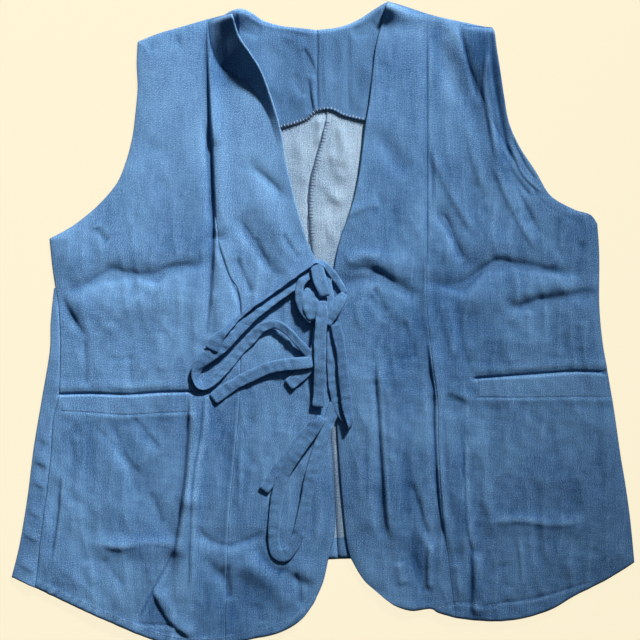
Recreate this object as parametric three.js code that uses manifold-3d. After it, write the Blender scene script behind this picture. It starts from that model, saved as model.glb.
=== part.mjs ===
// Sleeveless denim vest with a V neck, princess seams, two welt pockets and cloth ties, laid on its back.
// Millimetres, +Z up from the surface it lies on, +X across the vest as its front is seen, +Y to the neck.
// Left and right are as seen from the front. The origin is under the middle of the vest.
import * as THREE from "three";
import { mergeVertices } from "three/addons/utils/BufferGeometryUtils.js";
import Module from "manifold-3d";

const wasm = await Module();
wasm.setup();

// Cloth and layers
const CLOTH = 1.2; // one layer of denim
const SEAM_GAP = 0.3; // daylight between two pieces
const BACK_FLOOR = 0; // underside of the back, on the surface
const FACING_FLOOR = BACK_FLOOR + CLOTH + SEAM_GAP; // the back neck facing lies on the back
const FACING_CLOTH = 1.0;
const FRONT_FLOOR = BACK_FLOOR + CLOTH + SEAM_GAP; // lowest the fronts may lie
const PUFF = 2.8; // how far loose cloth stands off the layer below, away from its edges
const EDGE_ROLL = 9; // distance over which a front comes down to its side, armhole or shoulder
const BACK_INSET = 1.0; // the back hides this far inside the fronts' edge
// Where the cloth stands up off the surface, back and front together: at the neck end of each shoulder seam
const STANDING_NECK = [
  { across: 229, down: 18, halfWidth: 25, rise: 10 },
  { across: 394, down: 9, halfWidth: 22, rise: 7 },
];
const FACING_STAND = 1.5; // each layer stands up a little further than the one below
const FRONT_STAND = 1.75;
const WELT_CLOTH = 1.6; // a welt is a folded band
const WELT_GAP = 0.5; // a welt clears the curve of the front under it

// Ties: strips of turned cloth
const TIE = { width: 12, thickness: 2.2 };
const TIE_ON_EDGE = { width: 6, thickness: 3 }; // where a strip stands half on its edge

// The plan is measured in mm, across from its left and down from its top. This point of it is the origin.
const PLAN_CENTRE = { across: 323.1, down: 324.2 };

// Points of the plan, from rows of [across, down]
const plan = (rows) => rows.map(([across, down]) => new THREE.Vector2(across, down));

// Left outline: armhole from the shoulder tip to the underarm, then the side down to the hem corner
const LEFT_ARMHOLE = plan([
  [138, 42], [137, 64], [138, 88], [136, 112], [133, 136],
  [127, 160], [117, 184], [96, 208], [72, 227], [50, 239],
]);
const LEFT_SIDE = plan([
  [50, 239], [53, 268], [55, 282], [51, 322], [50, 352],
  [42, 400], [34, 448], [28, 496], [20, 544], [12, 577],
]);
// Seam that joins the left front to the strip of the back that comes round the side
const LEFT_SIDE_SEAM = plan([
  [50, 239], [53, 268], [56, 288], [59, 306], [61, 340],
  [60, 393], [54, 420], [51, 463], [42, 534], [36, 587],
]);
// Right outline
const RIGHT_ARMHOLE = plan([
  [492, 28], [495, 52], [499, 76], [503, 100], [508, 124],
  [519, 148], [535, 172], [550, 196], [572, 211], [597, 223],
]);
const RIGHT_SIDE = plan([
  [597, 223], [599, 256], [599, 304], [602, 340], [608, 376],
  [614, 412], [620, 454], [625, 484], [630, 520], [634, 562],
]);
// Shoulder seams, from the armhole to the neck on the left and from the neck to the armhole on the right
const LEFT_SHOULDER_OUTER = plan([[138, 42], [158, 34], [182, 27], [206, 20]]);
const LEFT_SHOULDER_INNER = plan([[206, 20], [220, 17], [233, 16]]);
const RIGHT_SHOULDER_INNER = plan([[387, 3], [405, 7], [427, 14]]);
const RIGHT_SHOULDER_OUTER = plan([[427, 14], [445, 19], [466, 25], [492, 28]]);
// Princess seams, shoulder to bust level and bust level to hem
const LEFT_SEAM_UPPER = plan([[206, 20], [209, 90], [212, 150], [216, 205], [219, 244]]);
const LEFT_SEAM_LOWER = plan([
  [219, 244], [229, 275], [240, 300], [240, 390],
  [235, 453], [229, 520], [226, 606], [226, 644],
]);
const RIGHT_SEAM_UPPER = plan([[427, 14], [427, 90], [427, 160], [427, 232]]);
const RIGHT_SEAM_LOWER = plan([
  [427, 232], [426, 300], [432, 361], [437, 400],
  [438, 450], [442, 510], [448, 560], [455, 617],
]);
// Front edges: V neck, then the meeting edge with the round corner at the hem
const LEFT_NECK_EDGE = plan([
  [233, 16], [241, 41], [253, 59], [265, 80],
  [280, 126], [286, 163], [296, 204], [307, 242],
]);
const LEFT_FRONT_EDGE = plan([
  [307, 242], [318, 265], [328, 292], [330, 350], [331, 436],
  [334, 478], [335, 530], [329, 556], [323, 582], [313, 604],
]);
const RIGHT_NECK_EDGE = plan([
  [387, 3], [381, 26], [375, 51], [369, 102],
  [365, 126], [359, 173], [351, 208], [342, 232],
]);
const RIGHT_FRONT_EDGE = plan([
  [342, 232], [335, 260], [332, 292], [333, 350], [337, 433],
  [341, 490], [347, 545], [354, 564], [364, 580], [374, 589],
]);
// Hems, left to right
const LEFT_HEM_SIDE = plan([
  [36, 587], [76, 606], [108, 620], [140, 634],
  [165, 642], [195, 646], [226, 644],
]);
const LEFT_HEM_CENTRE = plan([[226, 644], [252, 638], [272, 634], [290, 627], [303, 617], [313, 604]]);
const RIGHT_HEM_CENTRE = plan([
  [374, 589], [386, 599], [397, 606], [412, 610],
  [430, 608], [438, 612], [455, 617],
]);
const RIGHT_HEM_SIDE = plan([
  [455, 617], [478, 620], [504, 620], [528, 616],
  [552, 608], [576, 594], [604, 580], [634, 562],
]);
const BACK_HEM_LEFT = plan([[13, 577], [90, 572], [200, 566], [338, 559]]);
const BACK_HEM_RIGHT = plan([[338, 559], [430, 557], [540, 558], [632, 561]]);
// Back: neck edge and centre seam
const BACK_NECK_LEFT = plan([
  [222, 17], [231, 13], [242, 11], [252, 14],
  [264, 21], [282, 26], [300, 28], [317, 30],
]);
const BACK_NECK_RIGHT = plan([[317, 30], [340, 27], [358, 20], [374, 10], [387, 3]]);
const BACK_SEAM_UPPER = plan([
  [317, 30], [320, 70], [326, 112], [322, 133],
  [315, 160], [309, 186], [308, 219], [310, 244],
]);
const BACK_SEAM_LOWER = plan([[310, 244], [320, 320], [330, 430], [338, 559]]);
// Back neck facing, inside the back: its edges left and right, and its lower edge
const FACING_TOP = plan([
  [237, 15], [246, 15], [266, 25], [300, 31], [318, 33],
  [342, 29], [360, 22], [374, 13], [382, 8],
]);
const FACING_LEFT = plan([[237, 15], [241, 60], [252, 100], [262, 131]]);
const FACING_RIGHT = plan([[382, 8], [386, 60], [385, 100], [383, 124]]);
const FACING_BOTTOM = plan([
  [262, 131], [283, 128], [305, 121], [317, 112],
  [331, 111], [344, 117], [365, 122], [383, 124],
]);

// Pocket welts, top and bottom edges
const LEFT_WELT_TOP = plan([[62, 396], [92, 395], [126, 396], [159, 394], [190, 393]]);
const LEFT_WELT_BOTTOM = plan([[62, 411], [96, 413], [126, 415], [163, 413], [190, 412]]);
const RIGHT_WELT_TOP = plan([[477, 379], [520, 377], [579, 373], [606, 375]]);
const RIGHT_WELT_BOTTOM = plan([[477, 397], [520, 398], [575, 397], [608, 398]]);

// Folds of the fronts: a ridge or, below 0, a trough along a straight run
const FOLD_COLUMNS = ["fromAcross", "fromDown", "toAcross", "toDown", "halfWidth", "rise"];
const FOLDS = [
  // left front: neck edge that stands up, over the facing
  [243, 30, 255, 56, 15, 8.4],
  [255, 56, 270, 88, 14, 5],
  [270, 88, 284, 128, 14, 2.4],
  // right front: neck edge
  [384, 24, 370, 118, 15, 1.6],
  // left front: deep crease beside the princess seam, then down to the hem beside a standing fold
  [212, 150, 218, 235, 8, -2.6],
  [216, 240, 213, 330, 8, -3],
  [230, 262, 229, 330, 14, 2.4],
  [200, 262, 202, 330, 14, 2],
  [206, 345, 190, 453, 7, -2.6],
  [190, 453, 177, 563, 7, -2.4],
  [201, 400, 190, 500, 8, 2.8],
  [190, 500, 180, 590, 9, 2.4],
  // left front: chest
  [76, 290, 112, 274, 8, -2.6],
  [112, 274, 155, 277, 8, -2.4],
  [155, 277, 200, 264, 8, -2.4],
  [70, 256, 150, 252, 16, 1.6],
  [80, 305, 180, 300, 18, 2.2],
  [57, 292, 73, 320, 7, -1.6],
  // left front: between the seam and the V
  [253, 167, 281, 195, 8, -1.6],
  [241, 222, 273, 273, 8, -1.8],
  [262, 205, 290, 250, 10, 1.8],
  // left front: pocket and hem
  [118, 430, 159, 520, 10, -1.6],
  [100, 545, 175, 547, 9, 2.2],
  [171, 555, 141, 614, 9, -2],
  [158, 597, 186, 632, 8, 2.4],
  [150, 560, 120, 600, 16, 2],
  [200, 536, 263, 539, 8, -1.8],
  [240, 560, 305, 575, 18, 2.4],
  // right front: shoulder and chest
  [432, 30, 483, 131, 12, -2.4],
  [460, 34, 500, 160, 14, 2.6],
  [383, 141, 402, 169, 9, -1.4],
  [442, 214, 465, 261, 8, -1.6],
  [430, 282, 463, 286, 8, -2.2],
  [463, 286, 497, 265, 8, -2.4],
  [497, 265, 570, 274, 8, -2.2],
  [514, 306, 600, 296, 8, -2],
  [450, 250, 500, 244, 15, 1.8],
  [480, 300, 560, 288, 14, 2.4],
  // right front: folds that run out from the knot
  [345, 283, 375, 277, 8, -2.4],
  [375, 277, 410, 293, 8, -2.4],
  [352, 262, 400, 264, 12, 2.6],
  // right front: long vertical folds below the knot
  [380, 373, 386, 451, 7, -3],
  [386, 451, 391, 534, 7, -2.6],
  [399, 380, 407, 530, 13, 2.4],
  [363, 380, 368, 520, 11, 2],
  [437, 400, 446, 534, 7, -2.8],
  [422, 400, 428, 520, 12, 2],
  [467, 436, 478, 549, 7, -2.6],
  [453, 420, 461, 540, 9, 2.4],
  [473, 562, 474, 598, 8, -2],
  [424, 574, 426, 596, 8, -1.8],
  // right front: foot of the pocket bag
  [495, 522, 575, 524, 9, 2],
].map((row) => Object.fromEntries(FOLD_COLUMNS.map((column, i) => [column, row[i]])));

// Value at key of a broken line through points, both read by the two given coordinates
function alongLine(points, keyName, valueName, key) {
  const next = points.findIndex((point) => point[keyName] >= key);
  if (next === 0) return points[0][valueName];
  if (next < 0) return points[points.length - 1][valueName];
  const [a, b] = [points[next - 1], points[next]];
  return THREE.MathUtils.mapLinear(key, a[keyName], b[keyName], a[valueName], b[valueName]);
}

const LEFT_OUTLINE = [...LEFT_ARMHOLE, ...LEFT_SIDE.slice(1)];
const RIGHT_OUTLINE = [...RIGHT_ARMHOLE, ...RIGHT_SIDE.slice(1)];
const TOP_OUTLINE = [
  ...LEFT_SHOULDER_OUTER,
  ...LEFT_SHOULDER_INNER.slice(1),
  ...RIGHT_SHOULDER_INNER,
  ...RIGHT_SHOULDER_OUTER.slice(1),
];

// Height of a front's underside over a point of the plan
function frontHeight(across, down) {
  const inside = Math.min(
    across - alongLine(LEFT_OUTLINE, "y", "x", down),
    alongLine(RIGHT_OUTLINE, "y", "x", down) - across,
    down - alongLine(TOP_OUTLINE, "x", "y", across),
  );
  let stand = PUFF;
  for (const fold of FOLDS) {
    const runAcross = fold.toAcross - fold.fromAcross;
    const runDown = fold.toDown - fold.fromDown;
    const fromStart = [across - fold.fromAcross, down - fold.fromDown];
    const along = (fromStart[0] * runAcross + fromStart[1] * runDown) / (runAcross ** 2 + runDown ** 2);
    const nearest = THREE.MathUtils.clamp(along, 0, 1);
    const away = Math.hypot(fromStart[0] - nearest * runAcross, fromStart[1] - nearest * runDown);
    stand += fold.rise * Math.exp(-((away / fold.halfWidth) ** 2));
  }
  const soft = (stand + Math.sqrt(stand ** 2 + 1)) / 2;
  const roll = 1 - Math.exp(-Math.max(inside, 0) / EDGE_ROLL);
  return FRONT_FLOOR + FRONT_STAND * neckStand(across, down) + soft * roll;
}

// How far the back, and all that lies on it, stands off the surface at a point of the plan
function neckStand(across, down) {
  let stand = 0;
  for (const neck of STANDING_NECK) {
    const away = Math.hypot(across - neck.across, down - neck.down);
    stand += neck.rise * Math.exp(-((away / neck.halfWidth) ** 2));
  }
  return stand;
}

const backHeight = (across, down) => BACK_FLOOR + neckStand(across, down);
const facingHeight = (across, down) => FACING_FLOOR + FACING_STAND * neckStand(across, down);

// Point of the part over a point of the plan, on a cloth whose underside has the given height there,
// lifted square to the cloth
function placed(across, down, height, lift) {
  const step = 1;
  const slopeX = (height(across + step, down) - height(across - step, down)) / (2 * step);
  const slopeY = (height(across, down - step) - height(across, down + step)) / (2 * step);
  const out = new THREE.Vector3(-slopeX, -slopeY, 1).normalize();
  const at = new THREE.Vector3(across - PLAN_CENTRE.across, PLAN_CENTRE.down - down, height(across, down));
  return at.addScaledVector(out, lift);
}

// Closed wall between two grids of points, each a list of rows
function wallBetween(under, over) {
  const rows = under.length;
  const columns = under[0].length;
  const points = [...under.flat(), ...over.flat()];
  const lower = (r, c) => r * columns + c;
  const upper = (r, c) => rows * columns + lower(r, c);
  const faces = [];
  const quad = (a, b, c, d) => faces.push(a, b, c, a, c, d);
  for (let r = 0; r + 1 < rows; r++)
    for (let c = 0; c + 1 < columns; c++) {
      quad(upper(r, c), upper(r + 1, c), upper(r + 1, c + 1), upper(r, c + 1));
      quad(lower(r, c), lower(r, c + 1), lower(r + 1, c + 1), lower(r + 1, c));
    }
  const last = columns - 1;
  const end = rows - 1;
  for (let r = 0; r < end; r++) {
    quad(lower(r, 0), lower(r + 1, 0), upper(r + 1, 0), upper(r, 0));
    quad(lower(r + 1, last), lower(r, last), upper(r, last), upper(r + 1, last));
  }
  for (let c = 0; c < last; c++) {
    quad(lower(0, c + 1), lower(0, c), upper(0, c), upper(0, c + 1));
    quad(lower(end, c), lower(end, c + 1), upper(end, c + 1), upper(end, c));
  }
  const geometry = new THREE.BufferGeometry().setFromPoints(points);
  geometry.setIndex(faces);
  return geometry;
}

// Points along an edge made of sections, each a smooth curve cut into a number of steps of equal length
function edge(sections) {
  const points = [];
  for (const { through, steps } of sections) {
    const cut = new THREE.SplineCurve(through).getSpacedPoints(steps);
    points.push(...(points.length ? cut.slice(1) : cut));
  }
  return points;
}

// Edge moved across by a distance, to leave a seam's gap
const moved = (points, across) => points.map((point) => new THREE.Vector2(point.x + across, point.y));

// Grid of plan points that fills four edges: rows run from the top edge to the bottom edge
function filled({ top, bottom, left, right }) {
  const rows = left.length - 1;
  const columns = top.length - 1;
  return left.map((_, r) =>
    top.map((_, c) => {
      const u = c / columns;
      const v = r / rows;
      const between = left[r].clone().multiplyScalar(1 - u).addScaledVector(right[r], u);
      between.addScaledVector(top[c], 1 - v).addScaledVector(bottom[c], v);
      between.addScaledVector(top[0], -(1 - u) * (1 - v)).addScaledVector(top[columns], -u * (1 - v));
      return between.addScaledVector(bottom[0], -(1 - u) * v).addScaledVector(bottom[columns], -u * v);
    }),
  );
}

// Cloth wall over a filled plan, from one lift to another above the given underside
function panel(edges, height, lift, thickness) {
  const grid = filled(edges);
  const layer = (rise) => grid.map((row) => row.map((point) => placed(point.x, point.y, height, rise)));
  return wallBetween(layer(lift), layer(lift + thickness));
}

// Rows above and below bust level, shared by all fronts, and columns across each panel
const ROWS_UPPER = 15;
const ROWS_LOWER = 26;
const SIDE_COLUMNS = 11;
const CENTRE_COLUMNS = 8;

const frontRows = (upper, lower) => edge([
  { through: upper, steps: ROWS_UPPER },
  { through: lower, steps: ROWS_LOWER },
]);

function front({ left, right, top, bottom, columns }) {
  const ends = [top, bottom].map((through) => edge([{ through, steps: columns }]));
  return panel({ left, right, top: ends[0], bottom: ends[1] }, frontHeight, 0, CLOTH);
}

const frontLeftSide = () => front({
  left: moved(frontRows(LEFT_ARMHOLE, LEFT_SIDE_SEAM), SEAM_GAP / 2),
  right: moved(frontRows(LEFT_SEAM_UPPER, LEFT_SEAM_LOWER), -SEAM_GAP / 2),
  top: LEFT_SHOULDER_OUTER,
  bottom: LEFT_HEM_SIDE,
  columns: SIDE_COLUMNS,
});

const frontLeftCentre = () => front({
  left: moved(frontRows(LEFT_SEAM_UPPER, LEFT_SEAM_LOWER), SEAM_GAP / 2),
  right: frontRows(LEFT_NECK_EDGE, LEFT_FRONT_EDGE),
  top: LEFT_SHOULDER_INNER,
  bottom: LEFT_HEM_CENTRE,
  columns: CENTRE_COLUMNS,
});

const frontRightCentre = () => front({
  left: frontRows(RIGHT_NECK_EDGE, RIGHT_FRONT_EDGE),
  right: moved(frontRows(RIGHT_SEAM_UPPER, RIGHT_SEAM_LOWER), -SEAM_GAP / 2),
  top: RIGHT_SHOULDER_INNER,
  bottom: RIGHT_HEM_CENTRE,
  columns: CENTRE_COLUMNS,
});

const frontRightSide = () => front({
  left: moved(frontRows(RIGHT_SEAM_UPPER, RIGHT_SEAM_LOWER), SEAM_GAP / 2),
  right: frontRows(RIGHT_ARMHOLE, RIGHT_SIDE),
  top: RIGHT_SHOULDER_OUTER,
  bottom: RIGHT_HEM_SIDE,
  columns: SIDE_COLUMNS,
});

// The back lies flat. Its left half has a strip that comes round the side fold to meet the front.
const BACK_ROWS_UPPER = 16;
const BACK_ROWS_LOWER = 8;
const BACK_COLUMNS_SHOULDER = 7;
const BACK_COLUMNS_NECK = 7;
const STRIP_START_DOWN = 288; // where the side seam leaves the side fold
const STRIP_ROWS = 17;
const STRIP_ARC_STEPS = 4;
const STRIP_FOLD_DEPTH = 3; // the fold is as high as the front is, this far inside it
const STRIP_FLAT = 9; // the strip's own flat part under the fold, joined to the back
const STRIP_JOIN = 4; // how far inside the fold the back's flat wall starts
const STRIP_JOIN_FROM = 260; // the flat wall draws in to there between these two levels
const STRIP_JOIN_TO = 294;

const backRows = (upper, lower) => edge([
  { through: upper, steps: BACK_ROWS_UPPER },
  { through: lower, steps: BACK_ROWS_LOWER },
]);

// Closed geometry as a solid, and back
function solidOf(geometry) {
  const bare = geometry.clone();
  bare.deleteAttribute("normal");
  bare.deleteAttribute("uv");
  const merged = mergeVertices(bare, 1e-4);
  return new wasm.Manifold(new wasm.Mesh({
    numProp: 3,
    vertProperties: merged.attributes.position.array,
    triVerts: new Uint32Array(merged.index.array),
  }));
}

function geometryOf(solid) {
  const { numProp, vertProperties, triVerts } = solid.getMesh();
  const geometry = new THREE.BufferGeometry();
  const values = new THREE.InterleavedBuffer(vertProperties, numProp);
  geometry.setAttribute("position", new THREE.InterleavedBufferAttribute(values, 3, 0));
  geometry.setIndex([...triVerts]);
  return geometry;
}

// Part of an edge below the level where the strip starts, in rows
function stripEdge(points) {
  const start = new THREE.Vector2(alongLine(points, "y", "x", STRIP_START_DOWN), STRIP_START_DOWN);
  const below = points.filter((point) => point.y > STRIP_START_DOWN);
  return new THREE.SplineCurve([start, ...below]).getSpacedPoints(STRIP_ROWS);
}

// Strip of the back round the left side fold, in rows that run from its flat part to the side seam
function sideStrip() {
  const seam = stripEdge(LEFT_SIDE_SEAM);
  const inner = [];
  const outer = [];
  stripEdge(LEFT_SIDE).forEach((fold, r) => {
    const radius = frontHeight(fold.x + STRIP_FOLD_DEPTH, fold.y) / 2;
    const axis = placed(fold.x + radius + CLOTH / 2, fold.y, backHeight, CLOTH / 2 + radius);
    const inside = [new THREE.Vector3(axis.x + STRIP_FLAT, axis.y, CLOTH)];
    const outside = [new THREE.Vector3(axis.x + STRIP_FLAT, axis.y, 0)];
    for (let i = 0; i <= STRIP_ARC_STEPS; i++) {
      const turn = Math.PI * (-0.5 - i / STRIP_ARC_STEPS);
      const ray = new THREE.Vector3(Math.cos(turn), 0, Math.sin(turn));
      inside.push(axis.clone().addScaledVector(ray, radius - CLOTH / 2));
      outside.push(axis.clone().addScaledVector(ray, radius + CLOTH / 2));
    }
    const foldTop = new THREE.Vector2(fold.x + 2 * radius, fold.y);
    for (const share of [0.5, 1]) {
      const point = foldTop.clone().lerp(seam[r], share);
      point.x -= share * SEAM_GAP / 2;
      inside.push(placed(point.x, point.y, frontHeight, 0));
      outside.push(placed(point.x, point.y, frontHeight, CLOTH));
    }
    inner.push(inside);
    outer.push(outside);
  });
  return wallBetween(inner, outer);
}

function backLeft() {
  const drawnIn = (point) => {
    const share = THREE.MathUtils.smoothstep(point.y, STRIP_JOIN_FROM, STRIP_JOIN_TO);
    return new THREE.Vector2(point.x + BACK_INSET + STRIP_JOIN * share, point.y);
  };
  const flat = panel(
    {
      left: backRows(LEFT_ARMHOLE, LEFT_SIDE).map(drawnIn),
      right: moved(backRows(BACK_SEAM_UPPER, BACK_SEAM_LOWER), -SEAM_GAP / 2),
      top: edge([
        { through: [...LEFT_SHOULDER_OUTER, BACK_NECK_LEFT[0]], steps: BACK_COLUMNS_SHOULDER },
        { through: BACK_NECK_LEFT, steps: BACK_COLUMNS_NECK },
      ]),
      bottom: edge([{ through: BACK_HEM_LEFT, steps: BACK_COLUMNS_SHOULDER + BACK_COLUMNS_NECK }]),
    },
    backHeight, 0, CLOTH,
  );
  return geometryOf(solidOf(flat).add(solidOf(sideStrip())));
}

const backRight = () => panel(
  {
    left: moved(backRows(BACK_SEAM_UPPER, BACK_SEAM_LOWER), SEAM_GAP / 2),
    right: moved(backRows(RIGHT_ARMHOLE, RIGHT_SIDE), -BACK_INSET),
    top: edge([
      { through: BACK_NECK_RIGHT, steps: BACK_COLUMNS_NECK },
      { through: [...RIGHT_SHOULDER_INNER, RIGHT_SHOULDER_OUTER.at(-1)], steps: BACK_COLUMNS_SHOULDER },
    ]),
    bottom: edge([{ through: BACK_HEM_RIGHT, steps: BACK_COLUMNS_NECK + BACK_COLUMNS_SHOULDER }]),
  },
  backHeight, 0, CLOTH,
);

const FACING_COLUMNS = 14;
const FACING_ROWS = 9;
const backNeckFacing = () => panel(
  {
    left: edge([{ through: FACING_LEFT, steps: FACING_ROWS }]),
    right: edge([{ through: FACING_RIGHT, steps: FACING_ROWS }]),
    top: edge([{ through: FACING_TOP, steps: FACING_COLUMNS }]),
    bottom: edge([{ through: FACING_BOTTOM, steps: FACING_COLUMNS }]),
  },
  facingHeight, 0, FACING_CLOTH,
);

// A welt lies on its front panel
const WELT_COLUMNS = 9;
const WELT_ROWS = 2;
function welt(top, bottom) {
  const side = (index) => edge([{ through: [top.at(index), bottom.at(index)], steps: WELT_ROWS }]);
  const along = (points) => edge([{ through: points, steps: WELT_COLUMNS }]);
  const edges = { left: side(0), right: side(-1), top: along(top), bottom: along(bottom) };
  return panel(edges, frontHeight, CLOTH + WELT_GAP, WELT_CLOTH);
}

// Routes of the ties, as rows of across, down and the height of the strip's middle over the front below it
const OVER_CLOTH = 2; // on the front itself
const OVER_ONE = 4.7; // on one other strip
const OVER_TWO = 7.8;
const OVER_THREE = 11.2;
const UPPER_ROOT = [
  [344, 293, OVER_CLOTH], [339, 282, 2.4], [331, 271, 2.4],
  [321, 264, OVER_CLOTH], [310, 263, OVER_CLOTH], [300, 267, OVER_CLOTH],
  [280, 283, OVER_CLOTH], [260, 298, OVER_CLOTH], [240, 313, 2.4],
  [226, 324, 3.4], [216, 331, 4.6],
];
const UPPER_LOOP_LEFT = [
  [303, 279, OVER_CLOTH],
  [295, 285, 3], [281, 297, OVER_ONE], [263, 313, OVER_ONE], [245, 329, OVER_ONE], [228, 344, OVER_ONE],
  [213, 352, OVER_ONE], [201, 357, OVER_ONE], [195, 365, OVER_ONE],
  [195, 376, OVER_ONE], [203, 382, OVER_ONE],
  [213, 377, OVER_ONE], [227, 365, 4], [240, 351, 2.6], [252, 339, 2.2], [262, 330, OVER_CLOTH],
  [273, 326, OVER_CLOTH], [284, 331, 2.6], [296, 342, 5.2], [306, 350, OVER_TWO], [314, 346, OVER_TWO],
  [317, 336, OVER_TWO], [318, 327, OVER_TWO],
];
const UPPER_TAIL_LEFT = [
  [318, 327, OVER_ONE], [317, 340, OVER_ONE], [315, 352, OVER_ONE],
  [310, 362, OVER_ONE], [300, 366, OVER_ONE],
  [288, 365, 4.4], [275, 368, 3], [261, 373, OVER_CLOTH],
  [247, 380, OVER_CLOTH], [232, 388, OVER_CLOTH], [215, 395, OVER_CLOTH],
];
const UPPER_TIP_LEFT = [
  [318, 327, OVER_CLOTH], [317, 340, OVER_CLOTH], [314, 352, OVER_CLOTH],
  [309, 363, OVER_CLOTH], [302, 372, OVER_CLOTH],
  [293, 380, OVER_CLOTH], [283, 388, OVER_CLOTH],
];
const UPPER_TAIL_DOWN = [
  [321, 325, OVER_THREE], [320, 340, OVER_THREE], [319, 355, OVER_THREE], [318, 367, 10], [317, 378, 7.8],
  [316, 390, 4.6], [315, 400, 2.6], [314, 408, OVER_CLOTH],
];
const UPPER_LOOP_DOWN = [
  [332, 324, OVER_CLOTH], [332, 340, OVER_CLOTH], [333, 357, OVER_CLOTH],
  [334, 375, OVER_CLOTH], [337, 393, OVER_CLOTH],
  [341, 409, OVER_CLOTH], [345, 421, 2.2], [346.5, 425.5, 4.8], [346, 420, 7.3], [345, 408, 6.8],
  [345, 392, 5.6], [344, 374, OVER_ONE], [342, 356, OVER_ONE], [339, 340, OVER_ONE], [335, 324, OVER_ONE],
];
const LOWER_TIE = [
  [328, 416, OVER_CLOTH], [324, 430, OVER_CLOTH], [318, 447, OVER_CLOTH],
  [312, 467, OVER_CLOTH], [308, 488, OVER_CLOTH],
  [304, 510, OVER_CLOTH], [300, 530, OVER_CLOTH], [295, 545, OVER_CLOTH],
  [287, 554, OVER_CLOTH], [278, 554, OVER_CLOTH],
  [273, 545, OVER_CLOTH], [272, 530, OVER_CLOTH], [274, 512, OVER_CLOTH],
  [278, 494, OVER_CLOTH], [283, 480, 3.2],
  [289, 466, OVER_ONE], [296, 451, 5], [304, 435, 5.6], [311, 421, 6.6], [313, 417, 4.4],
  [311, 421, 2.2], [304, 435, OVER_CLOTH], [295, 450, OVER_CLOTH],
  [284, 464, OVER_CLOTH], [273, 478, OVER_CLOTH],
  [264, 490, OVER_CLOTH],
];

// Flat strip of turned cloth along a route
function strip(route, stepLength, { width, thickness } = TIE) {
  const points = route.map(([across, down, over]) => {
    const at = placed(across, down, frontHeight, 0);
    return at.setZ(at.z + CLOTH + over);
  });
  const path = new THREE.CatmullRomCurve3(points);
  const [halfWidth, halfThickness] = [width / 2, thickness / 2];
  const flat = halfWidth - halfThickness;
  const side = [[halfThickness, -flat], [halfThickness, flat], [halfThickness / 2, halfWidth]];
  const half = [...side, [-halfThickness / 2, halfWidth]].map(([x, y]) => new THREE.Vector2(x, y));
  const section = new THREE.Shape([...half, ...half.map((point) => point.clone().negate())]);
  const steps = Math.round(path.getLength() / stepLength);
  return new THREE.ExtrudeGeometry(section, { extrudePath: path, steps, bevelEnabled: false });
}

// The bow's knot, as one rounded body
const KNOT_AT = { across: 320, down: 302 };
const KNOT_HALF = new THREE.Vector3(17, 17, 5.5);
const KNOT_GAP = 0.5;
function knot() {
  const geometry = new THREE.SphereGeometry(1, 20, 12).rotateX(Math.PI / 2);
  const floor = frontHeight(KNOT_AT.across, KNOT_AT.down) + CLOTH + KNOT_GAP;
  geometry.scale(KNOT_HALF.x, KNOT_HALF.y, KNOT_HALF.z);
  return geometry.translate(
    KNOT_AT.across - PLAN_CENTRE.across,
    PLAN_CENTRE.down - KNOT_AT.down,
    floor + KNOT_HALF.z,
  );
}

const denim = { color: 0x4a739c, roughness: 0.9, metalness: 0 };
const paleDenim = { color: 0x8fb0cf, roughness: 0.95, metalness: 0 };
const PIECES = [
  ["back_left", backLeft, paleDenim],
  ["back_right", backRight, paleDenim],
  ["back_neck_facing", backNeckFacing, denim],
  ["front_left_side", frontLeftSide, denim],
  ["front_left_centre", frontLeftCentre, denim],
  ["front_right_centre", frontRightCentre, denim],
  ["front_right_side", frontRightSide, denim],
  ["pocket_welt_left", () => welt(LEFT_WELT_TOP, LEFT_WELT_BOTTOM), denim],
  ["pocket_welt_right", () => welt(RIGHT_WELT_TOP, RIGHT_WELT_BOTTOM), denim],
  ["tie_knot", knot, denim],
  ["tie_root", () => strip(UPPER_ROOT, 8, TIE_ON_EDGE), denim],
  ["tie_loop_left", () => strip(UPPER_LOOP_LEFT, 6), denim],
  ["tie_tail_left", () => strip(UPPER_TAIL_LEFT, 8), denim],
  ["tie_tip_left", () => strip(UPPER_TIP_LEFT, 8), denim],
  ["tie_tail_down", () => strip(UPPER_TAIL_DOWN, 8), denim],
  ["tie_loop_down", () => strip(UPPER_LOOP_DOWN, 4), denim],
  ["tie_lower", () => strip(LOWER_TIE, 6), denim],
];

const vest = new THREE.Group();
for (const [name, shape, look] of PIECES) {
  const mesh = new THREE.Mesh(shape(), new THREE.MeshStandardMaterial(look));
  mesh.name = name;
  vest.add(mesh);
}

export default vest;
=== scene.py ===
# %% [markdown]
# # A denim vest laid flat
# The vest lies on its back, with its ties in a bow. Everything here is built around a fixed frame: a simple
# solid model of the same vest, in metres, with +Z up from the surface and +Y towards the neck. Blender only
# adds the looks. This first cell loads the frame and counts its solids.

# %% The frame
import math

import bpy
import numpy as np
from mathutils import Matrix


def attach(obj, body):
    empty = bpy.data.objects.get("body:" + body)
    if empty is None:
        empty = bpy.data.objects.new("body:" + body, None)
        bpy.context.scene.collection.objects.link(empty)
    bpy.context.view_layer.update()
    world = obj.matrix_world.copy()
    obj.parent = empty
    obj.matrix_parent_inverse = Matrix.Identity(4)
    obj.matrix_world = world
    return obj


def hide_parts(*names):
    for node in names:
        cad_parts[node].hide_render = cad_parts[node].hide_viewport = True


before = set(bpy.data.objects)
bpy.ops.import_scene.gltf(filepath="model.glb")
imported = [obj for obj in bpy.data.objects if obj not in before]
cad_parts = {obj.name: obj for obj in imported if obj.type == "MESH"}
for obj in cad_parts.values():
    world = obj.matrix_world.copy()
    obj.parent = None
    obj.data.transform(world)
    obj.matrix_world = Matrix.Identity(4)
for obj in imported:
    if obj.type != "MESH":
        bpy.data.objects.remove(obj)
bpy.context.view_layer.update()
print("frame:", len(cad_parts), "solids")

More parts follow.
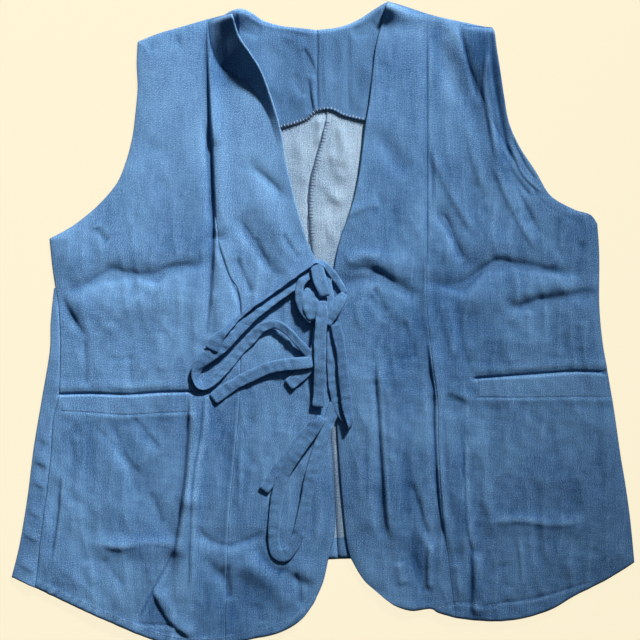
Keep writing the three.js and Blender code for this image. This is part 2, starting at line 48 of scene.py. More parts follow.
# %% [markdown]
# ## The plan
# A garment that lies flat is easiest to measure as a tailor does, on a plan: millimetres across from the
# left and millimetres down from the top. One function turns plan points into Blender's metres, so every
# table below can stay in the plan's own numbers.

# %% Plan to metres
MM = 0.001
PLAN_CENTRE = (323.1, 324.2)


def in_metres(across, down, height):
    x = (np.asarray(across, float) - PLAN_CENTRE[0]) * MM
    y = (PLAN_CENTRE[1] - np.asarray(down, float)) * MM
    return np.stack(np.broadcast_arrays(x, y, np.asarray(height, float) * MM), axis=-1)


print("plan point 320, 320 is at", in_metres(320, 320, 0).round(4))

# %% [markdown]
# ## The camera
# The vest is seen from straight above, as when someone stands over it. A long lens from far away keeps the
# outline true, because near and far parts are then drawn at nearly one scale.

# %% Camera
VIEW_MIDDLE = (320, 320)  # plan point in the middle of the view
VIEW_WIDTH = 640  # mm
CAMERA_HEIGHT = 1400
SENSOR = 36

camera = bpy.data.objects.new("camera", bpy.data.cameras.new("camera"))
camera.location = in_metres(*VIEW_MIDDLE, CAMERA_HEIGHT)
camera.data.sensor_width = SENSOR
camera.data.lens = SENSOR * CAMERA_HEIGHT / VIEW_WIDTH
bpy.context.scene.collection.objects.link(camera)
bpy.context.scene.camera = camera
print("lens:", round(camera.data.lens, 1), "mm")

# %% [markdown]
# ## Outlines and seams
# Each line of the cut is a short list of plan points. A smooth curve through them gives the real edge. Left
# and right are as seen from the front.

# %% Lines of the cut
LEFT_ARMHOLE = [(138, 42), (137, 64), (138, 88), (136, 112), (133, 136),
                (127, 160), (117, 184), (96, 208), (72, 227), (50, 239)]
LEFT_SIDE = [(50, 239), (53, 268), (55, 282), (51, 322), (50, 352),
             (42, 400), (34, 448), (28, 496), (20, 544), (12, 577)]
LEFT_SIDE_SEAM = [(50, 239), (53, 268), (56, 288), (59, 306), (61, 340),
                  (60, 393), (54, 420), (51, 463), (42, 534), (36, 587)]
RIGHT_ARMHOLE = [(492, 28), (495, 52), (499, 76), (503, 100), (508, 124),
                 (519, 148), (535, 172), (550, 196), (574, 210), (590, 215), (597, 224)]
RIGHT_SIDE = [(597, 224), (599, 256), (599, 304), (602, 340), (608, 376),
              (614, 412), (620, 454), (625, 484), (630, 520), (634, 562)]
LEFT_SHOULDER_OUTER = [(138, 42), (158, 34), (182, 27), (206, 20)]
LEFT_SHOULDER_INNER = [(206, 20), (220, 17), (233, 16)]
RIGHT_SHOULDER_INNER = [(387, 3), (405, 7), (427, 14)]
RIGHT_SHOULDER_OUTER = [(427, 14), (445, 19), (466, 25), (492, 28)]
LEFT_SEAM_UPPER = [(206, 20), (209, 90), (212, 150), (216, 205), (219, 244)]
LEFT_SEAM_LOWER = [(219, 244), (229, 275), (240, 300), (240, 390),
                   (235, 453), (229, 520), (226, 606), (226, 644)]
RIGHT_SEAM_UPPER = [(427, 14), (427, 90), (427, 160), (427, 232)]
RIGHT_SEAM_LOWER = [(427, 232), (426, 300), (432, 361), (437, 400),
                    (438, 450), (442, 510), (448, 560), (455, 617)]
LEFT_NECK_EDGE = [(233, 16), (241, 41), (253, 59), (265, 80),
                  (280, 126), (286, 163), (296, 204), (307, 242)]
LEFT_FRONT_EDGE = [(307, 242), (318, 265), (328, 292), (330, 350), (331, 436),
                   (334, 478), (335, 530), (329, 556), (323, 582), (313, 604)]
RIGHT_NECK_EDGE = [(387, 3), (381, 26), (375, 51), (369, 102),
                   (365, 126), (359, 173), (351, 208), (342, 232)]
RIGHT_FRONT_EDGE = [(342, 232), (335, 260), (332, 292), (333, 350), (337, 433),
                    (341, 490), (347, 545), (354, 564), (364, 580), (374, 589)]
LEFT_HEM_SIDE = [(36, 587), (76, 606), (108, 620), (140, 634), (165, 642), (195, 646), (226, 644)]
LEFT_HEM_CENTRE = [(226, 644), (252, 638), (272, 634), (290, 627), (303, 617), (313, 604)]
RIGHT_HEM_CENTRE = [(374, 589), (386, 599), (397, 606), (412, 610), (430, 608), (438, 612), (455, 617)]
RIGHT_HEM_SIDE = [(455, 617), (478, 620), (504, 620), (528, 616),
                  (552, 608), (576, 594), (604, 580), (634, 562)]
BACK_HEM_LEFT = [(13, 577), (90, 572), (200, 566), (338, 559)]
BACK_HEM_RIGHT = [(338, 559), (430, 557), (540, 558), (632, 561)]
BACK_NECK_LEFT = [(222, 17), (231, 13), (242, 11), (252, 14), (264, 21), (282, 26), (300, 28), (317, 30)]
BACK_NECK_RIGHT = [(317, 30), (340, 27), (358, 20), (374, 10), (387, 3)]
BACK_SEAM_UPPER = [(317, 30), (320, 70), (326, 112), (322, 133),
                   (315, 160), (309, 186), (308, 219), (310, 244)]
BACK_SEAM_LOWER = [(310, 244), (320, 320), (330, 430), (338, 559)]
FACING_TOP = [(237, 15), (246, 15), (266, 25), (300, 31), (318, 33),
              (342, 29), (360, 22), (374, 13), (382, 8)]
FACING_LEFT = [(237, 15), (241, 60), (252, 100), (262, 131)]
FACING_RIGHT = [(382, 8), (386, 60), (385, 100), (383, 124)]
FACING_BOTTOM = [(262, 131), (283, 128), (305, 121), (317, 112),
                 (331, 111), (344, 117), (365, 122), (383, 124)]
LEFT_WELT_TOP = [(62, 396), (92, 395), (126, 396), (159, 394), (190, 393)]
LEFT_WELT_BOTTOM = [(62, 411), (96, 413), (126, 415), (163, 413), (190, 412)]
RIGHT_WELT_TOP = [(477, 379), (520, 377), (579, 373), (606, 375)]
RIGHT_WELT_BOTTOM = [(477, 397), (520, 398), (575, 397), (608, 398)]


# %% Smooth lines
def steps_of(points):
    """Distances between neighbouring points of a line."""
    return np.linalg.norm(np.diff(points, axis=0), axis=1)


def length_of(points):
    return steps_of(points).sum()


def run_of(steps):
    """How far along each point of a line is, from the steps between them."""
    return np.concatenate([[0], np.cumsum(steps)])


def unit(vectors):
    return vectors / np.linalg.norm(vectors, axis=-1, keepdims=True)


CURVE_STEPS = 24  # between two given points


def smooth_line(points, shares, measured=None):
    """Points at the given shares of the length of a smooth curve through points.

    Only the first measured columns count as length. Any others, such as a width, just follow along.
    """
    p = np.array(points, float)
    t = np.linspace(0, len(p) - 1, (len(p) - 1) * CURVE_STEPS + 1)
    i = np.minimum(t.astype(int), len(p) - 2)
    f = (t - i)[:, None]
    before, here = p[np.maximum(i - 1, 0)], p[i]
    there, beyond = p[i + 1], p[np.minimum(i + 2, len(p) - 1)]
    fine = 0.5 * (
        2 * here + (there - before) * f
        + (2 * before - 5 * here + 4 * there - beyond) * f**2
        + (3 * here - before - 3 * there + beyond) * f**3
    )
    run = run_of(steps_of(fine[:, :measured]))
    return np.stack([np.interp(np.asarray(shares) * run[-1], run, axis) for axis in fine.T], axis=-1)


HALVES = np.linspace(0, 1, 101)
print("left armhole:", length_of(smooth_line(LEFT_ARMHOLE, HALVES)).round(), "mm")

# %% [markdown]
# ## The lie of the cloth
# Cloth that lies on a table isn't flat: it stands off at folds and comes down to its edges. A height map
# says how high the cloth lies over each point of the plan, on a square raster of 1 mm. Folds are laid on it
# one by one from tables, which is how a maker would describe them: where it runs, how wide it is, how high.
# A map like this is quick to read at any point, so each panel of cloth can later be as fine as it needs to
# be.

# %% A raster over the plan
RASTER_FROM = (-15, -20)  # plan point of its first cell
RASTER_SIZE = (680, 690)  # cells across and down
across_map, down_map = np.meshgrid(
    RASTER_FROM[0] + np.arange(RASTER_SIZE[0], dtype=float),
    RASTER_FROM[1] + np.arange(RASTER_SIZE[1], dtype=float),
)


def read_map(values, across, down):
    """Value of a map at plan points, from its four nearest cells."""
    x = np.clip(np.asarray(across, float) - RASTER_FROM[0], 0, RASTER_SIZE[0] - 1.001)
    y = np.clip(np.asarray(down, float) - RASTER_FROM[1], 0, RASTER_SIZE[1] - 1.001)
    c, r = x.astype(int), y.astype(int)
    fx, fy = x - c, y - r
    upper = values[r, c] * (1 - fx) + values[r, c + 1] * fx
    lower = values[r + 1, c] * (1 - fx) + values[r + 1, c + 1] * fx
    return upper * (1 - fy) + lower * fy


def nearest_on(path, across, down, fineness=4):
    """For each plan point: how far from a path, on which side of it, and how far along it, from 0 to 1."""
    path = np.array(path, float)
    if len(path) > 2:
        path = smooth_line(path, np.linspace(0, 1, fineness * len(path)))
    lengths = steps_of(path)
    away = np.full(across.shape, np.inf)
    side, share = np.zeros(across.shape), np.zeros(across.shape)
    before = 0
    for (a0, d0), (a1, d1), length in zip(path[:-1], path[1:], lengths):
        run_a, run_d = (a1 - a0) / length, (d1 - d0) / length
        t = np.clip((across - a0) * run_a + (down - d0) * run_d, 0, length)
        off_a, off_d = across - a0 - t * run_a, down - d0 - t * run_d
        distance = np.hypot(off_a, off_d)
        closer = distance < away
        away = np.where(closer, distance, away)
        side = np.where(closer, run_a * off_d - run_d * off_a, side)
        share = np.where(closer, (before + t) / lengths.sum(), share)
        before += length
    return away, side, share


def window(path, reach):
    """Part of the raster within reach of a path."""
    low = np.min(path, axis=0) - reach - RASTER_FROM
    high = np.max(path, axis=0) + reach - RASTER_FROM
    first = np.maximum(np.floor(low).astype(int), 0)
    last = np.ceil(high).astype(int) + 1
    return slice(first[1], last[1]), slice(first[0], last[0])


print("raster:", across_map.shape)

# %% [markdown]
# ## Folds and creases
# A fold is a soft ridge or, with a rise below 0, a trough. The light in the room comes from the upper
# right, so each crease has two widths: one on its shaded side, which is the lower or left one, and one on
# its lit side. A narrow shaded side makes the sharp dark line that a pressed crease shows. Creases die away
# at their ends and are never quite even along their length.

# %% Large folds of the fronts: from and to, half width, rise
FOLDS = [
    (384, 40, 370, 118, 15, 1.6),
    (212, 150, 218, 235, 8, -2.6), (216, 240, 213, 330, 8, -3), (230, 262, 229, 330, 14, 2.4),
    (200, 262, 202, 330, 14, 2),
    (201, 400, 190, 500, 8, 2.8), (190, 500, 180, 590, 9, 2.4),
    (76, 290, 112, 274, 8, -2.6), (112, 274, 155, 277, 8, -2.4), (155, 277, 200, 264, 8, -2.4),
    (70, 256, 150, 252, 16, 1.6), (80, 305, 180, 300, 18, 2.2), (57, 292, 73, 320, 7, -1.6),
    (253, 167, 281, 195, 8, -1.6), (241, 222, 273, 273, 8, -1.8), (262, 205, 290, 250, 10, 1.8),
    (118, 430, 159, 520, 10, -1.6), (100, 545, 175, 547, 9, 2.2), (171, 555, 141, 614, 9, -0.8),
    (150, 560, 120, 600, 16, 2), (200, 536, 263, 539, 8, -1.2),
    (240, 560, 305, 575, 18, 2.4),
    (432, 30, 483, 131, 12, -2.4), (460, 34, 500, 160, 14, 2.6), (383, 141, 402, 169, 9, -1.4),
    (442, 214, 465, 261, 8, -1.6), (430, 282, 463, 286, 8, -2.2), (463, 286, 497, 265, 8, -2.4),
    (497, 265, 570, 274, 8, -2.2), (514, 306, 600, 296, 8, -2), (450, 250, 500, 244, 15, 1.8),
    (480, 300, 560, 288, 14, 2.4),
    (345, 283, 375, 277, 8, -2.4), (375, 277, 410, 293, 8, -2.4), (352, 262, 400, 264, 12, 2.6),
    (374, 385, 381, 530, 5, -1.6), (399, 380, 407, 530, 13, 2.4),
    (363, 380, 368, 520, 11, 2), (432, 400, 438, 534, 5, -1.6), (422, 400, 428, 520, 12, 2),
    (467, 436, 478, 549, 7, -1.8), (453, 420, 461, 540, 9, 2.4), (473, 562, 474, 598, 6, -1.6),
    (424, 574, 426, 596, 8, -1.8), (495, 522, 575, 524, 9, 2),
]

# %% Creases of the left front: path, half width on the shaded side and on the lit side, rise
LEFT_CREASES = [
    ([(145, 50), (165, 43), (184, 38)], 8, 8, -0.8),
    ([(75, 291), (90, 282), (104, 275), (126, 273), (155, 277), (169, 267), (206, 264)], 3, 5, -1.0),
    ([(97, 226), (101, 235), (110, 243)], 4, 5, -0.9),
    ([(128, 288), (148, 294), (160, 300)], 7, 8, -0.7),
    ([(62, 296), (74, 318), (88, 338)], 3, 5, -1.0),
    ([(86, 336), (87, 388)], 3, 5, -0.8),
    ([(131, 352), (132, 388)], 3, 5, -0.7),
    ([(160, 330), (163, 372)], 5, 8, 0.6),
    ([(112, 320), (117, 360)], 7, 7, 0.5),
    ([(130, 130), (150, 148), (172, 152)], 8, 10, -0.5),
    ([(150, 180), (186, 196)], 8, 10, -0.4),
    ([(184, 90), (188, 150), (196, 210)], 6, 9, 0.4),
    ([(62, 474), (59, 512), (53, 560)], 1.6, 6, -1.7),
    ([(76, 428), (80, 470), (76, 500)], 4, 6, 0.7),
    ([(94, 424), (118, 448), (146, 480)], 3, 5, -0.6),
    ([(114, 424), (131, 470), (142, 500)], 3, 6, -0.8),
    ([(131, 414), (150, 436), (163, 452)], 3, 6, -0.7),
    ([(152, 492), (160, 512), (164, 524)], 3, 5, -0.6),
    ([(98, 541), (120, 546), (150, 541), (178, 545)], 2.6, 5, 0.9),
    ([(102, 556), (114, 572), (126, 588)], 4, 6, -0.7),
    ([(176, 546), (166, 566), (152, 592), (137, 623)], 1.8, 2, -2.2),
    ([(154, 586), (163, 606), (174, 622), (195, 638)], 1.6, 9, 1.7),
    ([(134, 622), (160, 623.5), (182, 624)], 1.2, 1.6, -0.9),
    ([(256, 540), (266, 560), (284, 574)], 5, 6, -1.0),
    ([(294, 570), (300, 588), (300, 606)], 3, 5, -1.1),
    ([(203, 554), (214, 568), (228, 582)], 6, 7, -1.0),
    ([(84, 560), (96, 584)], 5, 7, 0.5),
    # Beside the princess seam, and the long crease that runs down from it
    ([(191, 388), (192, 425), (189, 475), (183, 522), (175, 572)], 2, 6, 2.3),
    ([(208, 384), (204, 432), (197, 475), (194, 522), (192, 600)], 1.6, 5, 1.5),
    ([(216, 420), (213, 470), (214, 520)], 5, 7, 0.5),
    # Between the seam and the V
    ([(250, 166), (266, 178), (284, 196)], 3, 5, -0.9),
    ([(240, 220), (252, 240), (272, 272)], 3, 6, -1.0),
    ([(255, 236), (264, 256), (270, 262)], 3, 4, -0.6),
    ([(282, 232), (290, 246), (300, 260)], 3, 5, -0.9),
    ([(236, 256), (247, 282), (252, 296)], 3, 5, -0.8),
    ([(234, 110), (243, 150), (244, 186)], 7, 9, 0.4),
    # Below the ties
    ([(242, 440), (241, 476), (240, 512)], 2, 3.4, 0.6),
    ([(251, 412), (250, 440), (253, 470)], 5, 7, -0.5),
    ([(196, 522), (206, 536), (220, 543), (236, 543), (268, 530)], 3, 5, -1.0),
    ([(240, 556), (262, 575), (280, 592), (296, 608)], 9, 8, 1.1),
    ([(278, 566), (296, 578), (318, 588)], 6, 7, -1.5),
    ([(220, 566), (226, 582), (230, 600)], 5, 5, -0.9),
    ([(228, 562), (230, 600)], 3, 5, -0.6),
    ([(206, 575), (214, 600), (216, 628)], 5, 7, 0.6),
    ([(256, 600), (262, 622)], 5, 6, -0.5),
    ([(312, 470), (318, 510), (316, 545)], 4, 6, 0.6),
]

# %% Creases of the right front
RIGHT_CREASES = [
    ([(430, 26), (440, 50), (452, 80), (462, 104)], 7, 8, -0.8),
    ([(458, 22), (463, 46), (471, 76), (479, 104)], 3, 3, -0.9),
    ([(487, 50), (484, 88), (490, 122), (497, 164)], 2.4, 4, 1.6),
    ([(490, 36), (492, 66), (497, 100), (505, 140), (512, 170)], 3, 3, -1.8),
    ([(489, 32), (492, 50), (494, 70)], 2, 2.4, -1.0),
    ([(388, 11), (405, 15), (425, 20), (442, 26)], 13, 6, 1.7),
    ([(392, 26), (410, 25), (432, 24), (450, 40)], 7, 8, -1.0),
    ([(430, 150), (444, 180), (462, 214), (480, 240)], 4, 6, 0.9),
    ([(466, 120), (474, 160), (486, 196), (492, 230)], 4, 6, 0.7),
    ([(492, 160), (506, 196), (524, 230), (538, 254)], 3, 5, 0.9),
    ([(511, 178), (524, 204), (540, 236)], 3, 4, -0.8),
    ([(560, 214), (556, 240), (562, 262)], 3, 5, -0.7),
    ([(500, 150), (514, 176), (533, 200)], 2.6, 4, -0.8),
    ([(378, 138), (390, 152), (406, 174)], 8, 10, -0.5),
    ([(345, 216), (362, 208), (382, 204)], 4, 6, 0.7),
    ([(374, 196), (392, 214), (400, 232)], 6, 8, -0.4),
    ([(386, 60), (384, 96)], 6, 8, -0.4),
    ([(442, 212), (452, 236), (464, 262)], 3, 5, -1.0),
    ([(480, 214), (488, 232), (496, 250)], 5, 7, 0.7),
    ([(470, 180), (486, 200)], 6, 8, -0.4),
    ([(512, 210), (530, 226)], 5, 7, -0.5),
    ([(428, 283), (450, 287), (465, 284), (493, 264), (528, 267), (572, 276)], 4, 3.4, -1.9),
    ([(508, 309), (530, 305), (555, 297), (600, 292)], 5, 5, -1.6),
    ([(506, 138), (513, 154), (521, 172), (531, 184), (545, 195)], 1.2, 2.4, 0.8),
    ([(511, 136), (518, 152), (527, 169), (538, 182)], 1.8, 1.8, -1.2),
    ([(433, 214), (446, 222), (454, 240), (462, 262)], 4, 5, -0.9),
    ([(536, 268), (552, 262), (560, 240)], 4, 5, 0.6),
    ([(455, 300), (462, 340), (470, 372)], 5, 6, -0.8),
    ([(440, 300), (448, 330), (456, 360)], 4, 5, 0.7),
    ([(384, 318), (376, 340), (372, 366)], 4, 5, -0.8),
    ([(583, 240), (578, 262), (576, 280)], 4, 5, -0.9),
    ([(556, 310), (560, 350)], 6, 8, -0.4),
    ([(505, 330), (512, 364)], 6, 8, 0.5),
    ([(580, 318), (585, 352)], 5, 7, 0.5),
    # Out from the knot
    ([(342, 274), (360, 268), (376, 271), (392, 284), (414, 298)], 5, 4, -1.3),
    ([(372, 286), (380, 300), (386, 316)], 4, 3, -1.2),
    ([(345, 262), (362, 256), (382, 258)], 4, 6, 0.9),
    ([(369, 292), (378, 306), (386, 322)], 3, 5, -1.1),
    ([(402, 318), (410, 340), (416, 362)], 4, 6, -0.8),
    ([(356, 300), (362, 330)], 4, 6, 0.8),
    ([(396, 300), (402, 330), (400, 360)], 6, 8, 0.7),
    # Long folds down to the hem
    ([(378, 356), (380, 395), (383, 440), (386, 480), (388, 512), (392, 542)], 1.9, 8, 2.4),
    ([(388, 372), (392, 440), (396, 520)], 4, 7, 1.0),
    ([(372, 380), (375, 440), (378, 500)], 4, 4, 0.8),
    ([(364, 420), (367, 470), (366, 505)], 3, 5, -0.7),
    ([(404, 440), (408, 500), (415, 580)], 6, 7, -1.3),
    ([(429, 330), (432, 362), (436.5, 392), (436.5, 422), (439, 470), (443, 512), (451, 556)], 1.9, 8, 2.3),
    ([(446, 400), (450, 460), (456, 520)], 4, 7, 0.9),
    ([(466, 430), (467, 480), (470, 530), (479, 562)], 2.6, 8, 1.7),
    ([(410, 478), (420, 508), (428, 540)], 3, 5, -1.2),
    ([(518, 536), (521, 560), (522, 586)], 1.6, 3, 0.8),
    ([(478, 430), (482, 480), (488, 520)], 4, 7, 0.7),
    ([(445, 388), (462, 396), (474, 402)], 4, 6, 0.8),
    ([(474, 548), (475, 580), (475, 618)], 2.4, 7, 2.5),
    ([(430, 540), (429, 566), (429, 592)], 2, 4, 1.5),
    ([(412, 552), (419, 574), (424, 594)], 3, 4, -1.4),
    ([(398, 560), (404, 584)], 5, 6, 0.8),
    ([(454, 560), (460, 596)], 5, 6, 0.8),
    # Pocket bag, felt through the cloth
    ([(485, 521), (520, 519), (552, 523), (584, 520)], 2.6, 5, 0.9),
    ([(535, 478), (537, 520), (539, 566)], 5, 6, -0.8),
    ([(485, 430), (484, 512)], 2.6, 4, 0.5),
    ([(596, 420), (602, 500)], 4, 5, -0.6),
    ([(560, 430), (566, 470)], 6, 8, 0.5),
    ([(510, 410), (516, 450)], 5, 7, -0.5),
    ([(500, 560), (510, 590)], 5, 7, -0.5),
    ([(560, 550), (572, 576)], 5, 7, 0.6),
    ([(590, 545), (606, 560)], 5, 6, -0.5),
]
# %% Seams, pocket mouths and the lower edges of the welts, laid in the same way
SEAM_LINES = [
    ([(208, 20), (210, 60), (212, 110), (214, 150)], 1.6, 6, 1.0),
    ([(209, 40), (212, 90), (215, 150), (217, 200), (217, 250), (214, 300), (209, 350)], 2.4, 11, 3.2),
    ([(206, 120), (210, 170), (214, 232)], 5, 4, -1.4),
    ([(217, 238), (229, 275), (240, 300), (241, 336)], 1.4, 4, -1.1),
    ([(240, 380), (235, 453), (229, 520), (226, 606)], 4, 1.8, 0.4),
    ([(427, 16), (427, 90), (427, 160), (427, 232), (426, 262)], 1.6, 6, -0.7),
    ([(430, 150), (432, 180), (430, 214)], 3, 3, -0.7),
    ([(427, 256), (427, 300), (430, 340)], 3, 6, 0.9),
]
WELT_SEAMS = [
    ([(56, 394.4), (92, 393.4), (126, 394.4), (159, 392.4), (196, 391.4)], 1.8, 1.8, -1.5),
    ([(56, 387), (92, 386), (126, 387), (159, 385), (196, 384)], 3, 6, 0.5),
    ([(56, 412), (96, 414.4), (126, 416.4), (163, 414.4), (198, 413)], 5, 1.3, 0.42),
    ([(470, 378.6), (500, 376.4), (530, 374.2), (575, 371.2), (614, 373)], 1.8, 1.8, -1.7),
    ([(470, 371), (530, 367), (575, 364), (614, 366)], 3, 6, 0.6),
    ([(470, 399), (520, 399.4), (575, 398.6), (616, 399)], 5, 1.3, 0.42),
]
print("folds:", len(FOLDS), "creases:", len(LEFT_CREASES) + len(RIGHT_CREASES))


# %% Laying folds and creases on a map
CREASE_END = 0.18  # share of a crease's length over which it dies away
CREASE_DEPTH = 1.9


def lay_fold(heights, across0, down0, across1, down1, half_width, rise):
    ends = [(across0, down0), (across1, down1)]
    part = window(ends, 3 * half_width)
    away, _, _ = nearest_on(ends, across_map[part], down_map[part])
    heights[part] += rise * np.exp(-((away / half_width) ** 2))


def lay_crease(heights, path, shaded_width, lit_width, rise, number=0, ends=CREASE_END):
    part = window(path, 3 * max(shaded_width, lit_width))
    away, side, share = nearest_on(path, across_map[part], down_map[part])
    if rise < 0:  # the far wall of a trough is the shaded one
        side = -side
    width = np.where(side > 0, shaded_width, lit_width)
    near_end = np.clip(np.minimum(share, 1 - share) / ends, 0, 1)
    fading = near_end * near_end * (3 - 2 * near_end)
    uneven = 0.82 + 0.18 * np.sin(9 * share + 2.4 * number)
    heights[part] += CREASE_DEPTH * rise * fading * uneven * np.exp(-((away / width) ** 2))


def lay_creases(heights, creases, ends=CREASE_END):
    for number, crease in enumerate(creases):
        lay_crease(heights, *crease, number, ends)


def kept_above(heights, softness):
    """A map that is eased so that it never falls below 0."""
    return (heights + np.sqrt(heights**2 + softness)) / 2


def ripples(across, down, wavelength, seed, waves=14):
    """Smooth random unevenness of about that wavelength, near -1 to 1."""
    rng = np.random.default_rng(seed)
    total = np.zeros(np.shape(across))
    for turn, phase, stretch in rng.random((waves, 3)):
        k = 2 * math.pi / (wavelength * (0.7 + 0.9 * stretch))
        heading = 2 * math.pi * turn
        along = across * math.cos(heading) + down * math.sin(heading)
        total = total + np.sin(k * along + 6.3 * phase)
    return total / math.sqrt(waves)


def crumples(across, down, wavelength, seed):
    """Random unevenness with the sharp ridges of cloth that has been crushed."""
    return 0.6 - np.abs(ripples(across, down, wavelength, seed))


# %% [markdown]
# ## Height of the fronts
# The fronts lie on the back. They puff up by a few millimetres away from the edges, and come down to the
# outline at the armholes, the sides and the shoulders. On the left the neck edge stands up like the lip of
# a shell, steeper than the light falls, so the cloth behind it lies in deep shade. The lip starts low at
# the shoulder seam, where back and front are one thickness, and dies away at the middle of the V.

# %% Height map of the fronts
CLOTH = 1.2  # mm, one layer
FRONT_FLOOR = 1.5
PUFF = 2.8
EDGE_ROLL = 9
SHOULDER_ROLL = 4
FRONT_EDGE_PRESSED, FRONT_EDGE_ROLL = 0.75, 9  # the free edges lie flatter than the rest
HEM_WIDTH, HEM_STAND, HEM_FALL = 9, 0.7, 0.5  # the hem's width and height, and how sharply it falls
HEM_UNEVEN = 0.7
ROUGH_TOP, ROUGH_LOWER, ROUGH_RIGHT = 0.35, 0.95, 0.3  # more crumpled lower down and on the right
CRUMPLES = [(0.85, 0.6, 60, 3), (0.45, 0.5, 26, 4)]  # rise, stretch down the cloth, wavelength, seed
FINE_RIPPLES = 0.09
RIGHT_HEM_STITCHES = [
    (438, 607), (452, 602), (465, 601), (477, 604), (488, 604.5), (502, 601), (520, 599), (537, 596),
    (560, 590), (578, 584), (592, 580),
]
NECK_STANDS = [(238, 12, 15, 11), (388, 4, 14, 5)]  # of the back: across, down, half width, rise
RIGHT_NECK_STAND = (390, 9, 12, 9)
LEFT_LIP = [  # share of the neck edge, rise, width
    (0, 20, 25), (0.08, 22, 29), (0.14, 22, 31), (0.2, 20, 27), (0.28, 14, 18), (0.36, 9, 12),
    (0.46, 5, 8), (0.6, 0, 6),
]
ARMHOLE_LIP = [(0, 14, 30), (0.15, 14, 28), (0.3, 10, 19), (0.45, 6, 12), (0.7, 3, 10), (1, 0, 10)]

LEFT_OUTLINE = np.array(LEFT_ARMHOLE + LEFT_SIDE[1:], float)
RIGHT_OUTLINE = np.array(RIGHT_ARMHOLE + RIGHT_SIDE[1:], float)
TOP_OUTLINE = np.array(
    LEFT_SHOULDER_OUTER + LEFT_SHOULDER_INNER[1:] + RIGHT_SHOULDER_INNER + RIGHT_SHOULDER_OUTER[1:], float
)
below_top_map = down_map - np.interp(across_map, TOP_OUTLINE[:, 0], TOP_OUTLINE[:, 1])
inside_map = np.minimum.reduce([
    across_map - np.interp(down_map, LEFT_OUTLINE[:, 1], LEFT_OUTLINE[:, 0]),
    np.interp(down_map, RIGHT_OUTLINE[:, 1], RIGHT_OUTLINE[:, 0]) - across_map,
    below_top_map,
])
shoulder_map = 1 - np.exp(-((np.maximum(below_top_map, 0) / SHOULDER_ROLL) ** 2))


def bump(across, down, half_width, rise):
    return rise * np.exp(-((across_map - across) ** 2 + (down_map - down) ** 2) / half_width**2)


def lip(path, table, inner_side):
    """A rise towards an edge, straight up from some way in. Rows: share of the edge, rise, width."""
    table = np.array(table, float)
    part = window(path, table[:, 2].max() + 12)
    away, side, share = nearest_on(path, across_map[part], down_map[part], fineness=16)
    rise, width = (np.interp(share, table[:, 0], table[:, i]) for i in (1, 2))
    inward = away * np.where(side * inner_side > 0, 1, -1)
    risen = np.zeros(across_map.shape)
    risen[part] = rise * np.clip(1 - inward / width, 0, 1.06)
    return risen


def away_from(path):
    """Distance of every raster point from a path."""
    return nearest_on(path, across_map, down_map)[0]


neck_map = sum(bump(*row) for row in NECK_STANDS)
rough_map = (
    ROUGH_TOP + ROUGH_LOWER * np.clip((down_map - 150) / 150, 0, 1)
    + ROUGH_RIGHT * np.clip((across_map - 380) / 80, 0, 1)
)
stand_map = np.full(across_map.shape, PUFF)
for fold in FOLDS:
    lay_fold(stand_map, *fold)
lay_creases(stand_map, LEFT_CREASES + RIGHT_CREASES + SEAM_LINES)
crumpled = sum(
    rise * crumples(across_map, stretch * down_map, wavelength, seed)
    for rise, stretch, wavelength, seed in CRUMPLES
)
stand_map += rough_map * (crumpled + FINE_RIPPLES * ripples(across_map, down_map, 12, 6))
stand_map = kept_above(stand_map, 1)
lips_map = shoulder_map * (
    lip(LEFT_NECK_EDGE, LEFT_LIP, 1) + lip(RIGHT_ARMHOLE, ARMHOLE_LIP, 1) + bump(*RIGHT_NECK_STAND)
)
front_edges_map = np.minimum(away_from(LEFT_FRONT_EDGE), away_from(RIGHT_FRONT_EDGE))
stand_map *= 1 - FRONT_EDGE_PRESSED * np.exp(-front_edges_map / FRONT_EDGE_ROLL)
hem_map = np.minimum(away_from(LEFT_HEM_SIDE), away_from(LEFT_HEM_CENTRE))
hem_stand = HEM_STAND / (1 + np.exp((hem_map - HEM_WIDTH) / HEM_FALL))
hem_stand *= 1 + HEM_UNEVEN * ripples(across_map + down_map, 0.3 * down_map, 13, 9)
stand_map += hem_stand
lay_crease(stand_map, RIGHT_HEM_STITCHES, 1.4, 1.4, -0.7, 1, ends=0.1)
roll_map = 1 - np.exp(-np.maximum(inside_map, 0) / EDGE_ROLL)
front_map = FRONT_FLOOR + neck_map + lips_map + stand_map * roll_map
welt_map = front_map.copy()
lay_creases(front_map, WELT_SEAMS, ends=0.05)
front_map = np.maximum(front_map, FRONT_FLOOR)
print("fronts: from", front_map.min().round(1), "to", front_map.max().round(1), "mm")

# %% [markdown]
# ## Writing shader maths
# A material in Blender is a graph of nodes. A small class wraps a node's output socket, so that a line such
# as 0.5 + 0.2 * (grain - 0.5) adds the Math nodes by itself. One method adds any other kind of node: it
# takes the node's type, its settings, and the values or links of its sockets.

# %% Values and finishes
class Value:
    """An output of a material's nodes, which Python's operators can work with."""

    def __init__(self, socket):
        self.socket = socket

    def maths(self, operation, *operands):
        node = self.socket.id_data.nodes.new("ShaderNodeMath")
        node.operation = operation
        for operand, socket in zip(operands, node.inputs):
            connect(operand, socket)
        return Value(node.outputs[0])

    def __add__(self, other):
        return self.maths("ADD", self, other)

    __radd__ = __add__

    def __sub__(self, other):
        return self.maths("SUBTRACT", self, other)

    def __mul__(self, other):
        return self.maths("MULTIPLY", self, other)

    __rmul__ = __mul__

    def sine(self):
        return self.maths("SINE", self)


def connect(value, socket):
    if isinstance(value, Value):
        socket.id_data.links.new(value.socket, socket)
    else:
        socket.default_value = value


